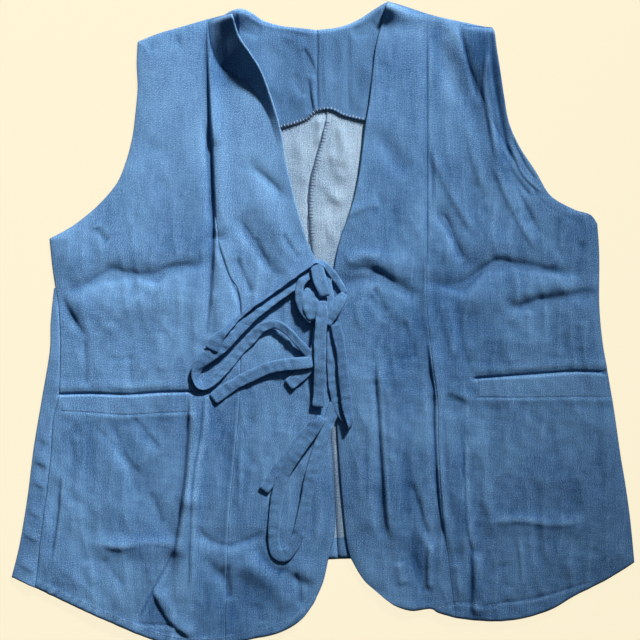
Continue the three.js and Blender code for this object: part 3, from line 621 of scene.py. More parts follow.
class Finish:
    """A material with its main shader, whose even values are given by socket name."""

    def __init__(self, name, even):
        self.material = bpy.data.materials.new(name)
        self.material.use_nodes = True
        self.tree = self.material.node_tree
        self.shader = self.tree.nodes["Principled BSDF"]
        for socket, value in even.items():
            self.shader.inputs[socket].default_value = value

    def node(self, kind, settings=(), values=(), output=0):
        node = self.tree.nodes.new("ShaderNode" + kind)
        for setting, value in dict(settings).items():
            setattr(node, setting, value)
        for socket, value in dict(values).items():
            connect(value, node.inputs[socket])
        return Value(node.outputs[output])

    def noise(self, vector, stretch, detail=2.0, roughness=0.5):
        """Even noise over a vector, with so many lumps a metre along each of its axes."""
        scaled = self.node("Mapping", values={"Vector": vector, "Scale": (*stretch, 1)})
        return self.node(
            "TexNoise", {"noise_dimensions": "2D"},
            {"Vector": scaled, "Scale": 1.0, "Detail": detail, "Roughness": roughness},
        )

    def between(self, share, first, second):
        return self.node("Mix", {"data_type": "RGBA"}, {0: share, 6: first, 7: second}, output=2)

    def feed(self, socket, value):
        connect(value, self.shader.inputs[socket])


def paint(red, green, blue):
    """A colour given as it looks on a screen, 0 to 255, in Blender's linear values."""
    def linear(c):
        c /= 255
        return c / 12.92 if c <= 0.04045 else ((c + 0.055) / 1.055) ** 2.4

    return (linear(red), linear(green), linear(blue), 1.0)


print("a mid blue:", [round(c, 3) for c in paint(98, 142, 188)])

# %% [markdown]
# ## Denim
# Denim is a twill. Its warp yarns are dyed blue and its weft is left white, and each weft passes under
# three warps at a time, so the face is blue with fine slanting lines of pale specks and the reverse is
# pale. The dyed yarns differ from one another, so there are streaks along the warp, and washing leaves soft
# clouds. All of it is worked out from the cloth's own coordinates, in metres, kept in a UV map named cloth:
# the weave then keeps its scale on a panel and turns with each tie. An attribute on the points makes the
# cloth paler where edges and folds stand proud and have lost more dye; on the fronts it also holds painted
# shade, darker in the hollows and in spots where shade falls, and a few spots of painted light.

# %% Denim finish
TWILL_PITCH = 0.0013  # metres between the slanting lines
TWILL_SLOPE = math.radians(62)
MATT = {"Roughness": 0.92, "Specular IOR Level": 0.1, "Sheen Weight": 0.04, "Sheen Roughness": 0.5}


def denim(name, deep, pale, fleck, contrast=1.0, lines=1.0):
    finish = Finish(name, MATT)
    cloth = finish.node("UVMap", {"uv_map": "cloth"})
    axes = finish.tree.nodes.new("ShaderNodeSeparateXYZ")
    connect(cloth, axes.inputs[0])
    weft, warp = Value(axes.outputs[0]), Value(axes.outputs[1])
    wander = finish.noise(cloth, (160, 90))
    slant = weft * (math.sin(TWILL_SLOPE) / TWILL_PITCH) + warp * (math.cos(TWILL_SLOPE) / TWILL_PITCH)
    twill = (2 * math.pi * (slant + 0.8 * wander)).sine()
    yarn = finish.noise(cloth, (900, 45), detail=3.0, roughness=0.65) - 0.5
    pick = finish.noise(cloth, (70, 1100), roughness=0.6) - 0.5
    speck = finish.noise(cloth, (1000, 1000), detail=1.0) - 0.5
    cloud = finish.noise(cloth, (16, 11), detail=4.0, roughness=0.6) - 0.5
    # Wear, and on the fronts painted shade and painted light, come from an attribute: it shifts the blue and
    # the pale flecks.
    wear_and_painted_shade = finish.node("Attribute", {"attribute_name": "wear_and_painted_shade"}, output=2)
    share = (
        0.5 + contrast * (0.055 * lines * twill + 0.5 * yarn + 0.3 * pick + 0.7 * speck)
        + 0.85 * cloud + 0.5 * wear_and_painted_shade
    )
    blue = finish.between(finish.node("Clamp", values={0: share}), deep, pale)
    light = finish.node("Clamp", values={0: 1.6 * speck * contrast - 0.12 + 0.35 * wear_and_painted_shade})
    finish.feed("Base Color", finish.between(light, blue, fleck))
    height = 0.5 * lines * twill + 1.4 * yarn + 1.6 * speck
    bump = finish.node("Bump", values={"Strength": 0.35, "Distance": 0.0003, "Height": height})
    finish.feed("Normal", bump)
    return finish.material


denim_face = denim(
    "denim_face", paint(44, 84, 132), paint(122, 170, 216), paint(178, 206, 230), contrast=1.15, lines=0.6
)
# The facing's finish is the denim made darker all over, as painted shade for the shade it lies in inside the
# neck.
denim_facing_painted_shade = denim("denim_facing_painted_shade", paint(34, 70, 112), paint(102, 146, 190), paint(156, 186, 212))
denim_tie = denim("denim_tie", paint(40, 78, 122), paint(110, 156, 202), paint(164, 192, 220))
denim_reverse = denim(
    "denim_reverse", paint(84, 118, 154), paint(184, 208, 228), paint(214, 224, 230), contrast=1.5, lines=1.2
)
print("finishes:", [m.name for m in bpy.data.materials])

# %% [markdown]
# ## Cloth as a shell
# Each panel is a closed thin shell, as real cloth is: an upper and a lower face with a rim between. The
# panel's four edges are lines of the cut, and the grid between them is filled so that its rows and columns
# follow all four. Cells gather near the edges, where the cloth rounds over into a seam or a folded edge.

# %% Grid between four edges
def shares(count, gathered=0.5):
    """From 0 to 1 in steps that are shorter near both ends."""
    t = np.linspace(0, 1, count)
    return t - gathered * np.sin(2 * np.pi * t) / (2 * np.pi)


def edge(*sections):
    """An edge made of sections, each a line of the cut and the shares of its length to take."""
    parts = [smooth_line(line, taken) for line, taken in sections]
    return np.concatenate([parts[0]] + [part[1:] for part in parts[1:]])


def filled(left, right, top, bottom, across, down):
    """Plan points of the grid inside four edges, at shares of the way across and down."""
    u, v = np.asarray(across)[None, :, None], np.asarray(down)[:, None, None]
    grid = (1 - u) * left[:, None] + u * right[:, None] + (1 - v) * top[None] + v * bottom[None]
    grid -= (1 - u) * (1 - v) * top[0] + u * (1 - v) * top[-1]
    return grid - (1 - u) * v * bottom[0] - u * v * bottom[-1]


# %% Shells
def surface_points(heights, grid, lift):
    """Points over a plan grid, lifted square to the surface that a height map gives."""
    across, down = grid[..., 0], grid[..., 1]
    slope_x = (read_map(heights, across + 1, down) - read_map(heights, across - 1, down)) / 2
    slope_y = (read_map(heights, across, down - 1) - read_map(heights, across, down + 1)) / 2
    out = unit(np.stack([-slope_x, -slope_y, np.ones_like(slope_x)], axis=-1))
    on_map = in_metres(across, down, read_map(heights, across, down))
    return on_map + out * np.asarray(lift)[..., None] * MM


def from_edges(grid):
    """Distances of each point of a grid from its left, right, top and bottom edges."""
    distances = []
    for axis, pad in ((1, [(0, 0), (1, 0)]), (0, [(1, 0), (0, 0)])):
        step = np.linalg.norm(np.diff(grid, axis=axis), axis=-1)
        done = np.cumsum(np.pad(step, pad), axis=axis)
        distances += [done, done.max(axis=axis, keepdims=True) - done]
    return distances


def grid_faces(rows, columns, first=0):
    r, c = np.meshgrid(np.arange(rows - 1), np.arange(columns - 1), indexing="ij")
    a = first + (r * columns + c).ravel()
    return np.stack([a, a + columns, a + columns + 1, a + 1], axis=1)


def rim_faces(rows, columns, upper):
    """Faces between the borders of two grids, the second of which starts at the number upper."""
    index = np.arange(rows * columns).reshape(rows, columns)
    border = np.concatenate([index[0], index[1:, -1], index[-1, -2::-1], index[-2::-1, 0]])
    a, b = border[:-1], border[1:]
    return np.stack([b, a, a + upper, b + upper], axis=1)


def piece(name, points, faces, finishes, uv, wear_and_painted_shade=None, finish_of_face=None):
    """A smooth mesh that rides with the vest."""
    mesh = bpy.data.meshes.new(name)
    mesh.from_pydata(np.asarray(points).reshape(-1, 3), [], faces)
    for material in finishes:
        mesh.materials.append(material)
    corner = np.empty(len(mesh.loops), dtype=np.int32)
    mesh.loops.foreach_get("vertex_index", corner)
    layer = mesh.uv_layers.new(name="cloth")
    layer.data.foreach_set("uv", np.asarray(uv, np.float32).reshape(-1, 2)[corner].ravel())
    attribute = mesh.attributes.new("wear_and_painted_shade", "FLOAT", "POINT")
    values = np.zeros(len(mesh.vertices)) if wear_and_painted_shade is None else np.asarray(wear_and_painted_shade).ravel()
    attribute.data.foreach_set("value", values.astype(np.float32))
    if finish_of_face is not None:
        mesh.polygons.foreach_set("material_index", np.asarray(finish_of_face, np.int32))
    mesh.polygons.foreach_set("use_smooth", np.ones(len(mesh.polygons), bool))
    mesh.update()
    made = bpy.data.objects.new(name, mesh)
    bpy.context.scene.collection.objects.link(made)
    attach(made, "root")
    return made


def stand_in(made, node):
    """Let a finished piece stand for its solid, which it hides, and print how many faces it has."""
    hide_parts(node)
    print(node, len(made.data.polygons), "faces")
    return made


TIGHT, SEAM, FREE = 0.5, 1.0, 1.6  # rounding widths: a pressed seam, a seam, and a free edge
SEAM_DROP, FREE_DROP = {TIGHT: 0.1, SEAM: 0.34}, 0.88  # share of the thickness lost at a seam and elsewhere
EDGE_WEAR, EDGE_WEAR_WIDTH = 0.15, 1.2
grid_sizes = {}  # rows and columns of each shell, by its name


def left_near(distance, width):
    """Share of the cloth's thickness left at a distance from an edge."""
    near = np.clip(distance / width, 0, 1)
    return 1 - SEAM_DROP.get(width, FREE_DROP) * (1 - np.sqrt(1 - (1 - near) ** 2))


def shell(name, heights, grid, lift=0.0, cloth=CLOTH, rounding=(FREE,) * 4, finishes=None, band=None):
    """Closed cloth over a plan grid, rounded over so far in from its left, right, top and bottom edges.

    A band is a test of plan points whose faces take the third finish.
    """
    rows, columns = grid_sizes[name] = grid.shape[:2]
    distances = from_edges(grid)
    away = np.minimum.reduce(distances)
    thickness = cloth * np.minimum.reduce([left_near(d, r) for d, r in zip(distances, rounding)])
    under = surface_points(heights, grid, np.full(away.shape, lift))
    over = surface_points(heights, grid, lift + thickness)
    faces = grid_faces(rows, columns)
    rim = rim_faces(rows, columns, rows * columns)
    finish_of_face = np.repeat([0, 1, 0], [len(faces), len(faces), len(rim)])
    if band is not None:
        in_band = band(grid[:-1, :-1, 0], grid[:-1, :-1, 1]).ravel()
        finish_of_face[: len(faces)][in_band] = 2
    uv = np.stack([grid[..., 0], -grid[..., 1]], axis=-1) * MM
    # On the fronts the colour takes painted shade, painted light and wear from that map; shells with free or
    # sewn edges are paler close to them, where they wear.
    painted_shade_and_wear_here = read_map(painted_shade_and_wear_map, grid[..., 0], grid[..., 1]) if heights is front_map else np.zeros(away.shape)
    wear_and_painted_shade = painted_shade_and_wear_here + EDGE_WEAR * np.exp(-away / EDGE_WEAR_WIDTH) * (np.min(rounding) > TIGHT)
    all_faces = np.concatenate([faces + rows * columns, faces[:, ::-1], rim])
    return piece(
        name, [under, over], all_faces, finishes or [denim_face, denim_reverse],
        [uv, uv], [wear_and_painted_shade, np.zeros(away.shape)][::-1], finish_of_face,
    )


def spread(heights):
    """How much each point of a map stands proud of its neighbours."""
    around = sum(np.roll(heights, step, axis) for step in (-2, 2) for axis in (0, 1))
    return heights - around / 4


# Colour from the lie of the cloth: paler where it stands proud, as worn denim is, and darker in its hollows,
# which is painted shade.
CREASE_WEAR_AND_SHADE, CREASE_WEAR_AND_SHADE_MOST = 1.6, 0.45
PAINTED_SHADE_CUT = 1.5  # mm over which a painted spot that is cut off ends
# Spots of painted shade, where change is below 0, darken the fronts where shade falls: behind the raised left
# neck edge, in the wedge by the right armhole, along dark folds, and more towards the hem and the right. The
# few above 0 are painted light.
PAINTED_SHADE_AND_LIGHT = [  # painted shade and painted light: across, down, half widths, change, and where its left end is cut off
    (240, 600, 66, 48, -0.62, 192), (520, 590, 120, 70, -0.12, 0), (412, 470, 45, 110, -0.18, 0),
    (440, 320, 60, 60, -0.4, 0), (482, 62, 22, 46, -0.7, 462), (500, 120, 8, 60, -0.5, 0),
    (130, 440, 80, 60, -0.2, 0), (120, 540, 80, 50, -0.14, 0), (245, 150, 40, 110, 0.16, 0),
    (560, 300, 170, 260, -0.22, 0), (390, 150, 40, 120, -0.26, 0), (211, 160, 6, 120, -0.5, 0),
    (224, 56, 17, 34, -0.8, 0), (318, 330, 30, 60, -0.25, 0), (60, 260, 40, 60, -0.1, 0),
    (236, 470, 30, 90, -0.15, 0), (300, 520, 40, 60, -0.2, 0), (153, 608, 11, 16, -0.6, 0),
    (473, 584, 5, 26, -0.6, 0), (416, 560, 7, 46, -0.4, 0), (404, 480, 9, 90, -0.3, 0),
    (458, 480, 6, 90, -0.3, 0), (436, 60, 5, 60, -0.3, 0), (200, 250, 10, 60, -0.3, 0),
    (450, 60, 8, 40, 0.3, 0), (395, 130, 14, 30, 0.15, 0),
]
# Painted shade and painted light, with the paler wear on proud folds, in one map that the fronts' colour
# reads.
painted_shade_and_wear_map = np.clip(CREASE_WEAR_AND_SHADE * spread(front_map), -CREASE_WEAR_AND_SHADE_MOST, CREASE_WEAR_AND_SHADE_MOST)
for across, down, wide, high, change, cut in PAINTED_SHADE_AND_LIGHT:
    spot = np.exp(-(((across_map - across) / wide) ** 2) - ((down_map - down) / high) ** 2)
    painted_shade_and_wear_map += change * spot / (1 + np.exp(np.clip((cut - across_map) / PAINTED_SHADE_CUT, -50, 50)))
print("proud by up to", spread(front_map)[30:640, 60:600].max().round(2), "mm")

# %% [markdown]
# ## The four front panels
# Princess seams run from the shoulders to the hem, so each front has a side panel and a centre panel. Rows
# are counted in two lots, above and below the bust, because both panels meet there along the same two
# lines.

# %% Front panels
UPPER_SHARE = 15 / 41  # rows of the upper lot, as a share of the panel's length
POCKET_SHARE = 0.41  # rows are closest there, for the pocket mouths


def closer_at(count, place, width=0.07, extra=1.8):
    """From 0 to 1 in steps that are shorter near a place."""
    t = np.linspace(0, 1, 1001)
    weight = 1 + extra * np.exp(-(((t - place) / width) ** 2))
    run = run_of((weight[1:] + weight[:-1]) / 2)
    return np.interp(np.linspace(0, 1, count), run / run[-1], t)


def two_lots(upper, lower, upper_share):
    """Shares of a whole edge, from the shares taken within its upper and its lower part."""
    return np.concatenate([upper * upper_share, (upper_share + (1 - upper_share) * lower)[1:]])


UPPER, LOWER = shares(150, 0.3), closer_at(226, POCKET_SHARE)
ROW_SHARES = two_lots(UPPER, LOWER, UPPER_SHARE)
SIDE_ACROSS, CENTRE_ACROSS = shares(122, 0.3), shares(96, 0.3)


def front_grid(left, right, top, bottom, across):
    sides = [edge((upper, UPPER), (lower, LOWER)) for upper, lower in (left, right)]
    ends = [smooth_line(line, across) for line in (top, bottom)]
    return filled(*sides, *ends, across, ROW_SHARES)


FRONTS = {
    "front_left_side": front_grid(
        (LEFT_ARMHOLE, LEFT_SIDE_SEAM), (LEFT_SEAM_UPPER, LEFT_SEAM_LOWER),
        LEFT_SHOULDER_OUTER, LEFT_HEM_SIDE, SIDE_ACROSS,
    ),
    "front_left_centre": front_grid(
        (LEFT_SEAM_UPPER, LEFT_SEAM_LOWER), (LEFT_NECK_EDGE, LEFT_FRONT_EDGE),
        LEFT_SHOULDER_INNER, LEFT_HEM_CENTRE, CENTRE_ACROSS,
    ),
    "front_right_centre": front_grid(
        (RIGHT_NECK_EDGE, RIGHT_FRONT_EDGE), (RIGHT_SEAM_UPPER, RIGHT_SEAM_LOWER),
        RIGHT_SHOULDER_INNER, RIGHT_HEM_CENTRE, CENTRE_ACROSS,
    ),
    "front_right_side": front_grid(
        (RIGHT_SEAM_UPPER, RIGHT_SEAM_LOWER), (RIGHT_ARMHOLE, RIGHT_SIDE),
        RIGHT_SHOULDER_OUTER, RIGHT_HEM_SIDE, SIDE_ACROSS,
    ),
}
ROUNDED = {  # how the left, right, top and bottom edges round over
    "front_left_side": (SEAM, SEAM, FREE, FREE), "front_left_centre": (SEAM, FREE, FREE, FREE),
    "front_right_centre": (FREE, TIGHT, FREE, FREE), "front_right_side": (TIGHT, FREE, FREE, FREE),
}
panels = {}
for node, grid in FRONTS.items():
    made = shell(node + "_cloth", front_map, grid, rounding=ROUNDED[node])
    panels[node] = stand_in(made, node)

# %% [markdown]
# ## The back
# The back lies flat with its right side down, so its pale reverse is what shows through the V. Its left
# half comes round the side fold to meet the left front, and it has its own strip for that.

# %% Back halves
BACK_FLOOR = 0
BACK_INSET = 1.0
NECK_BAND_DOWN, HEM_BAND_DOWN = 60, 536  # above and below these the back is folded over, right side up
BACK_CREASES = [
    ([(317, 117), (318, 130), (317, 146)], 1.4, 3, 1.5),
    ([(322, 118), (322, 130), (319, 142)], 1.4, 3, 1.1),
    ([(338, 124), (341, 146), (338, 168)], 2.4, 6, 1.2),
    ([(330, 150), (336, 170), (346, 184)], 3, 5, 1.0),
    ([(348, 140), (346, 160), (350, 180)], 4, 6, 0.9),
    ([(296, 130), (300, 156), (305, 190)], 4, 5, 0.9),
    ([(320, 180), (332, 196), (344, 206)], 3, 6, 1.1),
    ([(324, 206), (326, 226), (332, 240)], 2.4, 4, 1.0),
    ([(318, 216), (320, 236), (320, 250)], 2, 4, 0.9),
    ([(336, 214), (332, 232), (334, 246)], 3, 4, 0.7),
]
ALLOWANCE_WIDTH, ALLOWANCE_STAND, ALLOWANCE_REACH = 5, 1.5, 12
OPENING_FROM, OPENING_TO = 104, 256  # the levels between which the back shows in the V
back_map = BACK_FLOOR + neck_map
seam_away, seam_side, _ = nearest_on(BACK_SEAM_UPPER, across_map, down_map)
in_opening = (down_map > OPENING_FROM) & (down_map < OPENING_TO)
back_creases_map = 0.4 * crumples(across_map, down_map, 30, 12)
lay_creases(back_creases_map, BACK_CREASES)
allowance_map = ALLOWANCE_STAND * np.clip(1 - seam_away / ALLOWANCE_WIDTH, 0.3, 1)  # highest at its sewn edge
back_creases_map += (seam_side < 0) * (seam_away < ALLOWANCE_REACH) * allowance_map
back_map += in_opening * np.maximum(back_creases_map, 0)
BACK_UPPER, BACK_LOWER = shares(70, 0.2), shares(60, 0.2)
BACK_UPPER_SHARE = 16 / 24
BACK_ROWS = two_lots(BACK_UPPER, BACK_LOWER, BACK_UPPER_SHARE)
SHOULDER, NECK = shares(30, 0.3), shares(36, 0.3)


def back_ends(sections, hem):
    """Top and bottom edges of a back half, which share the columns of the shoulder and the neck."""
    top = edge(*sections)
    first, second = (len(taken) for _, taken in sections)
    across = np.concatenate([np.linspace(0, 0.5, first), np.linspace(0.5, 1, second)[1:]])
    return top, smooth_line(hem, across), across


STRIP_JOIN, STRIP_JOIN_FROM, STRIP_JOIN_TO = 4, 260, 294  # how far in, and the levels between which it grows


def drawn_in(points):
    """The flat wall starts further inside the fold where the side strip is."""
    t = np.clip((points[:, 1] - STRIP_JOIN_FROM) / (STRIP_JOIN_TO - STRIP_JOIN_FROM), 0, 1)
    inwards = BACK_INSET + STRIP_JOIN * t * t * (3 - 2 * t)
    return points + np.stack([inwards, np.zeros(len(points))], axis=-1)


middle_edge = edge((BACK_SEAM_UPPER, BACK_UPPER), (BACK_SEAM_LOWER, BACK_LOWER))
top, bottom, across = back_ends(
    [(LEFT_SHOULDER_OUTER + BACK_NECK_LEFT[:1], SHOULDER), (BACK_NECK_LEFT, NECK)], BACK_HEM_LEFT
)
left_edge = drawn_in(edge((LEFT_ARMHOLE, BACK_UPPER), (LEFT_SIDE, BACK_LOWER)))
back_left_grid = filled(left_edge, middle_edge, top, bottom, across, BACK_ROWS)
top, bottom, across = back_ends(
    [(BACK_NECK_RIGHT, NECK), (RIGHT_SHOULDER_INNER + RIGHT_SHOULDER_OUTER[-1:], SHOULDER)], BACK_HEM_RIGHT
)
right_edge = edge((RIGHT_ARMHOLE, BACK_UPPER), (RIGHT_SIDE, BACK_LOWER)) - [BACK_INSET, 0]
back_right_grid = filled(middle_edge, right_edge, top, bottom, across, BACK_ROWS)
for node, grid in {"back_left": back_left_grid, "back_right": back_right_grid}.items():
    made = shell(
        node + "_cloth", back_map, grid, finishes=[denim_reverse, denim_face, denim_face],
        band=lambda across, down: (down < NECK_BAND_DOWN) | (down > HEM_BAND_DOWN),
    )
    panels[node] = stand_in(made, node)

# %% [markdown]
# ## Side strip of the back
# On the left the back comes round the side fold and is sewn to the front some way in from the edge. It
# could be bent out of the flat back with a curve, but a row of sections is simpler: each section leaves the
# flat part, turns round the fold, and lies on top as far as the seam.

# %% Side strip
STRIP_START_DOWN = 288  # where the side seam leaves the side fold
STRIP_FOLD_DEPTH = 3  # the fold is as high as the front is, this far inside it
STRIP_FLAT = 9  # width of the flat part under the fold
STRIP_RADIUS_LEAST = 1.0
STRIP_THIN_FROM, STRIP_THIN_OVER = 0.88, 0.15  # shares of its top, where it thins towards the seam
STRIP_ARC = np.linspace(0, 1, 11)
STRIP_TOP = np.linspace(0, 1, 8)[1:]
STRIP_ROWS = np.linspace(0, 1, 190)
PUCKERS = [  # down, width, rise
    (438, 9, 0.9), (460, 9, 1.2), (481, 8, 1), (510, 11, 0.9), (533, 8, 1.2), (562, 9, 1),
]
PUCKER_FALL = 2.2  # width of the shaded lower side


def below_start(line):
    start = (np.interp(STRIP_START_DOWN, [p[1] for p in line], [p[0] for p in line]), STRIP_START_DOWN)
    return smooth_line([start] + [p for p in line if p[1] > STRIP_START_DOWN], STRIP_ROWS)


def side_strip():
    """Inner and outer grids of the strip, in rows from its flat part to the side seam."""
    inner, outer = [], []
    down_strip = below_start(LEFT_SIDE)[:, 1]
    puckers = 0.2 * ripples(np.zeros(len(STRIP_ROWS)), down_strip, 20, 31)
    for down, width, rise in PUCKERS:
        widths = np.where(down_strip > down, PUCKER_FALL, width)
        puckers += rise * np.exp(-(((down_strip - down) / widths) ** 2))
    for fold, seam, pucker in zip(below_start(LEFT_SIDE), below_start(LEFT_SIDE_SEAM), puckers):
        height = read_map(front_map, fold[0] + STRIP_FOLD_DEPTH, fold[1])
        radius = max(height / 2, STRIP_RADIUS_LEAST)
        axis = np.array([fold[0] + radius + CLOTH / 2, fold[1], CLOTH / 2 + radius])
        flat = np.array([axis[0] + STRIP_FLAT, fold[1]])
        rows = {side: [in_metres(*flat, level)] for side, level in ((-1, CLOTH), (1, 0))}
        for turn in np.pi * (-0.5 - STRIP_ARC):
            for side in rows:
                reach = (radius + side * CLOTH / 2) * np.array([math.cos(turn), 0, math.sin(turn)])
                rows[side].append(in_metres(*(axis + reach)))
        top = np.array([fold[0] + 2 * radius, fold[1]])
        for share in STRIP_TOP:
            point = top * (1 - share) + seam * share
            stand = pucker * math.sin(math.pi * share)
            thinned = max(0, share - STRIP_THIN_FROM) / STRIP_THIN_OVER
            for side, lift in ((-1, 0.0), (1, CLOTH * math.sqrt(1 - thinned))):
                rows[side].append(surface_points(front_map, point, np.array(lift + stand)))
        inner.append(rows[-1])
        outer.append(rows[1])
    return np.array(inner), np.array(outer)


inner, outer = side_strip()
rows, columns = grid_sizes["side_strip_cloth"] = inner.shape[:2]
strip_uv = np.stack([inner[..., 0] + outer[..., 2], inner[..., 1]], axis=-1)
panels["side_strip"] = piece(
    "side_strip_cloth", [inner, outer],
    np.concatenate([
        grid_faces(rows, columns)[:, ::-1], grid_faces(rows, columns, rows * columns),
        rim_faces(rows, columns, rows * columns),
    ]),
    [denim_face], [strip_uv, strip_uv],
)
print("side strip:", rows, "sections")

# %% [markdown]
# ## Back neck facing
# Inside the neck a shaped facing lies on the back, right side up, with a seam down its middle. It has soft
# folds of its own, because the neck is not quite flat.

# %% Facing
FACING_CLOTH = 1.0
FACING_FLOOR = 1.5
FACING_CREASES = [
    ([(317, 28), (317, 60), (317, 90), (318, 114)], 1.3, 1.6, -2.0),
    ([(240, 24), (250, 30), (262, 34)], 6, 5, -3.0),
    ([(262, 26), (290, 34), (312, 38)], 5, 4, -0.7),
    ([(350, 34), (366, 30), (378, 24)], 5, 4, -1.4),
    ([(325, 34), (325, 70), (327, 108)], 2.4, 4, 0.5),
    ([(348, 30), (348, 70), (349, 116)], 2.6, 4, -0.9),
    ([(303, 48), (310, 62), (317, 80)], 2.2, 5, -1.5),
    ([(296, 74), (301, 88), (305, 98)], 2.2, 5, -1.4),
    ([(306, 78), (310, 96), (312, 116)], 2.0, 4, -1.7),
    ([(314, 70), (313, 92), (317, 112)], 2.4, 3, 0.8),
    ([(262, 44), (276, 56), (288, 62)], 6, 8, -0.6),
    ([(282, 36), (296, 44), (306, 60)], 5, 7, 0.7),
    ([(266, 90), (276, 104), (280, 122)], 5, 6, -0.6),
    ([(333, 36), (336, 60), (333, 84)], 4, 5, -0.5),
    ([(352, 32), (364, 33), (374, 30)], 4, 5, -0.9),
    ([(366, 60), (362, 90), (360, 114)], 4, 6, 0.6),
]
facing_stand = 1.2 + 0.35 * ripples(across_map, down_map, 30, 8)
lay_creases(facing_stand, FACING_CREASES)
facing_stand = kept_above(facing_stand, 0.3)
facing_map = FACING_FLOOR + neck_map + facing_stand
FACING_ACROSS = closer_at(140, 0.51, 0.07, 3)  # closer columns for the seam down the middle
FACING_DOWN = shares(54, 0.2)
facing_grid = filled(
    smooth_line(FACING_LEFT, FACING_DOWN), smooth_line(FACING_RIGHT, FACING_DOWN),
    smooth_line(FACING_TOP, FACING_ACROSS), smooth_line(FACING_BOTTOM, FACING_ACROSS),
    FACING_ACROSS, FACING_DOWN,
)
made = shell(
    "back_neck_facing_cloth", facing_map, facing_grid, cloth=FACING_CLOTH,
    finishes=[denim_facing_painted_shade, denim_reverse],
)
panels["back_neck_facing"] = stand_in(made, "back_neck_facing")

# %% [markdown]
# ## Pocket welts
# A welt is a folded band sewn over the mouth of the pocket. It stands a little proud of the front, and the
# mouth makes a dark line along its top.

# %% Welts
WELT_CLOTH, WELT_PROUD = 0.8, 0.25  # thickness, and how far it stands above the front
WELT_ROUNDING = 0.9
WELT_ROWS, WELT_COLUMNS = shares(12, 0.4), shares(80, 0.3)
WELTS = {
    "pocket_welt_left": (LEFT_WELT_TOP, LEFT_WELT_BOTTOM),
    "pocket_welt_right": (RIGHT_WELT_TOP, RIGHT_WELT_BOTTOM),
}


def welt_grid(top, bottom):
    ends = [smooth_line([top[i], bottom[i]], WELT_ROWS) for i in (0, -1)]
    long_edges = [smooth_line(line, WELT_COLUMNS) for line in (top, bottom)]
    return filled(*ends, *long_edges, WELT_COLUMNS, WELT_ROWS)


for node, (top, bottom) in WELTS.items():
    made = shell(
        node + "_cloth", welt_map, welt_grid(top, bottom), lift=CLOTH + WELT_PROUD - WELT_CLOTH,
        cloth=WELT_CLOTH, rounding=(WELT_ROUNDING,) * 4, finishes=[denim_face, denim_face],
    )
    panels[node] = stand_in(made, node)

# %% [markdown]
# ## Ties
# The ties are narrow tubes of cloth, turned right side out and pressed flat. Each follows a route over the
# fronts and over one another. A strip's frame is carried along its route without twisting, as a real strip
# keeps its own flat side, and a bank angle then tips it on its edge where it stands up in a turn.

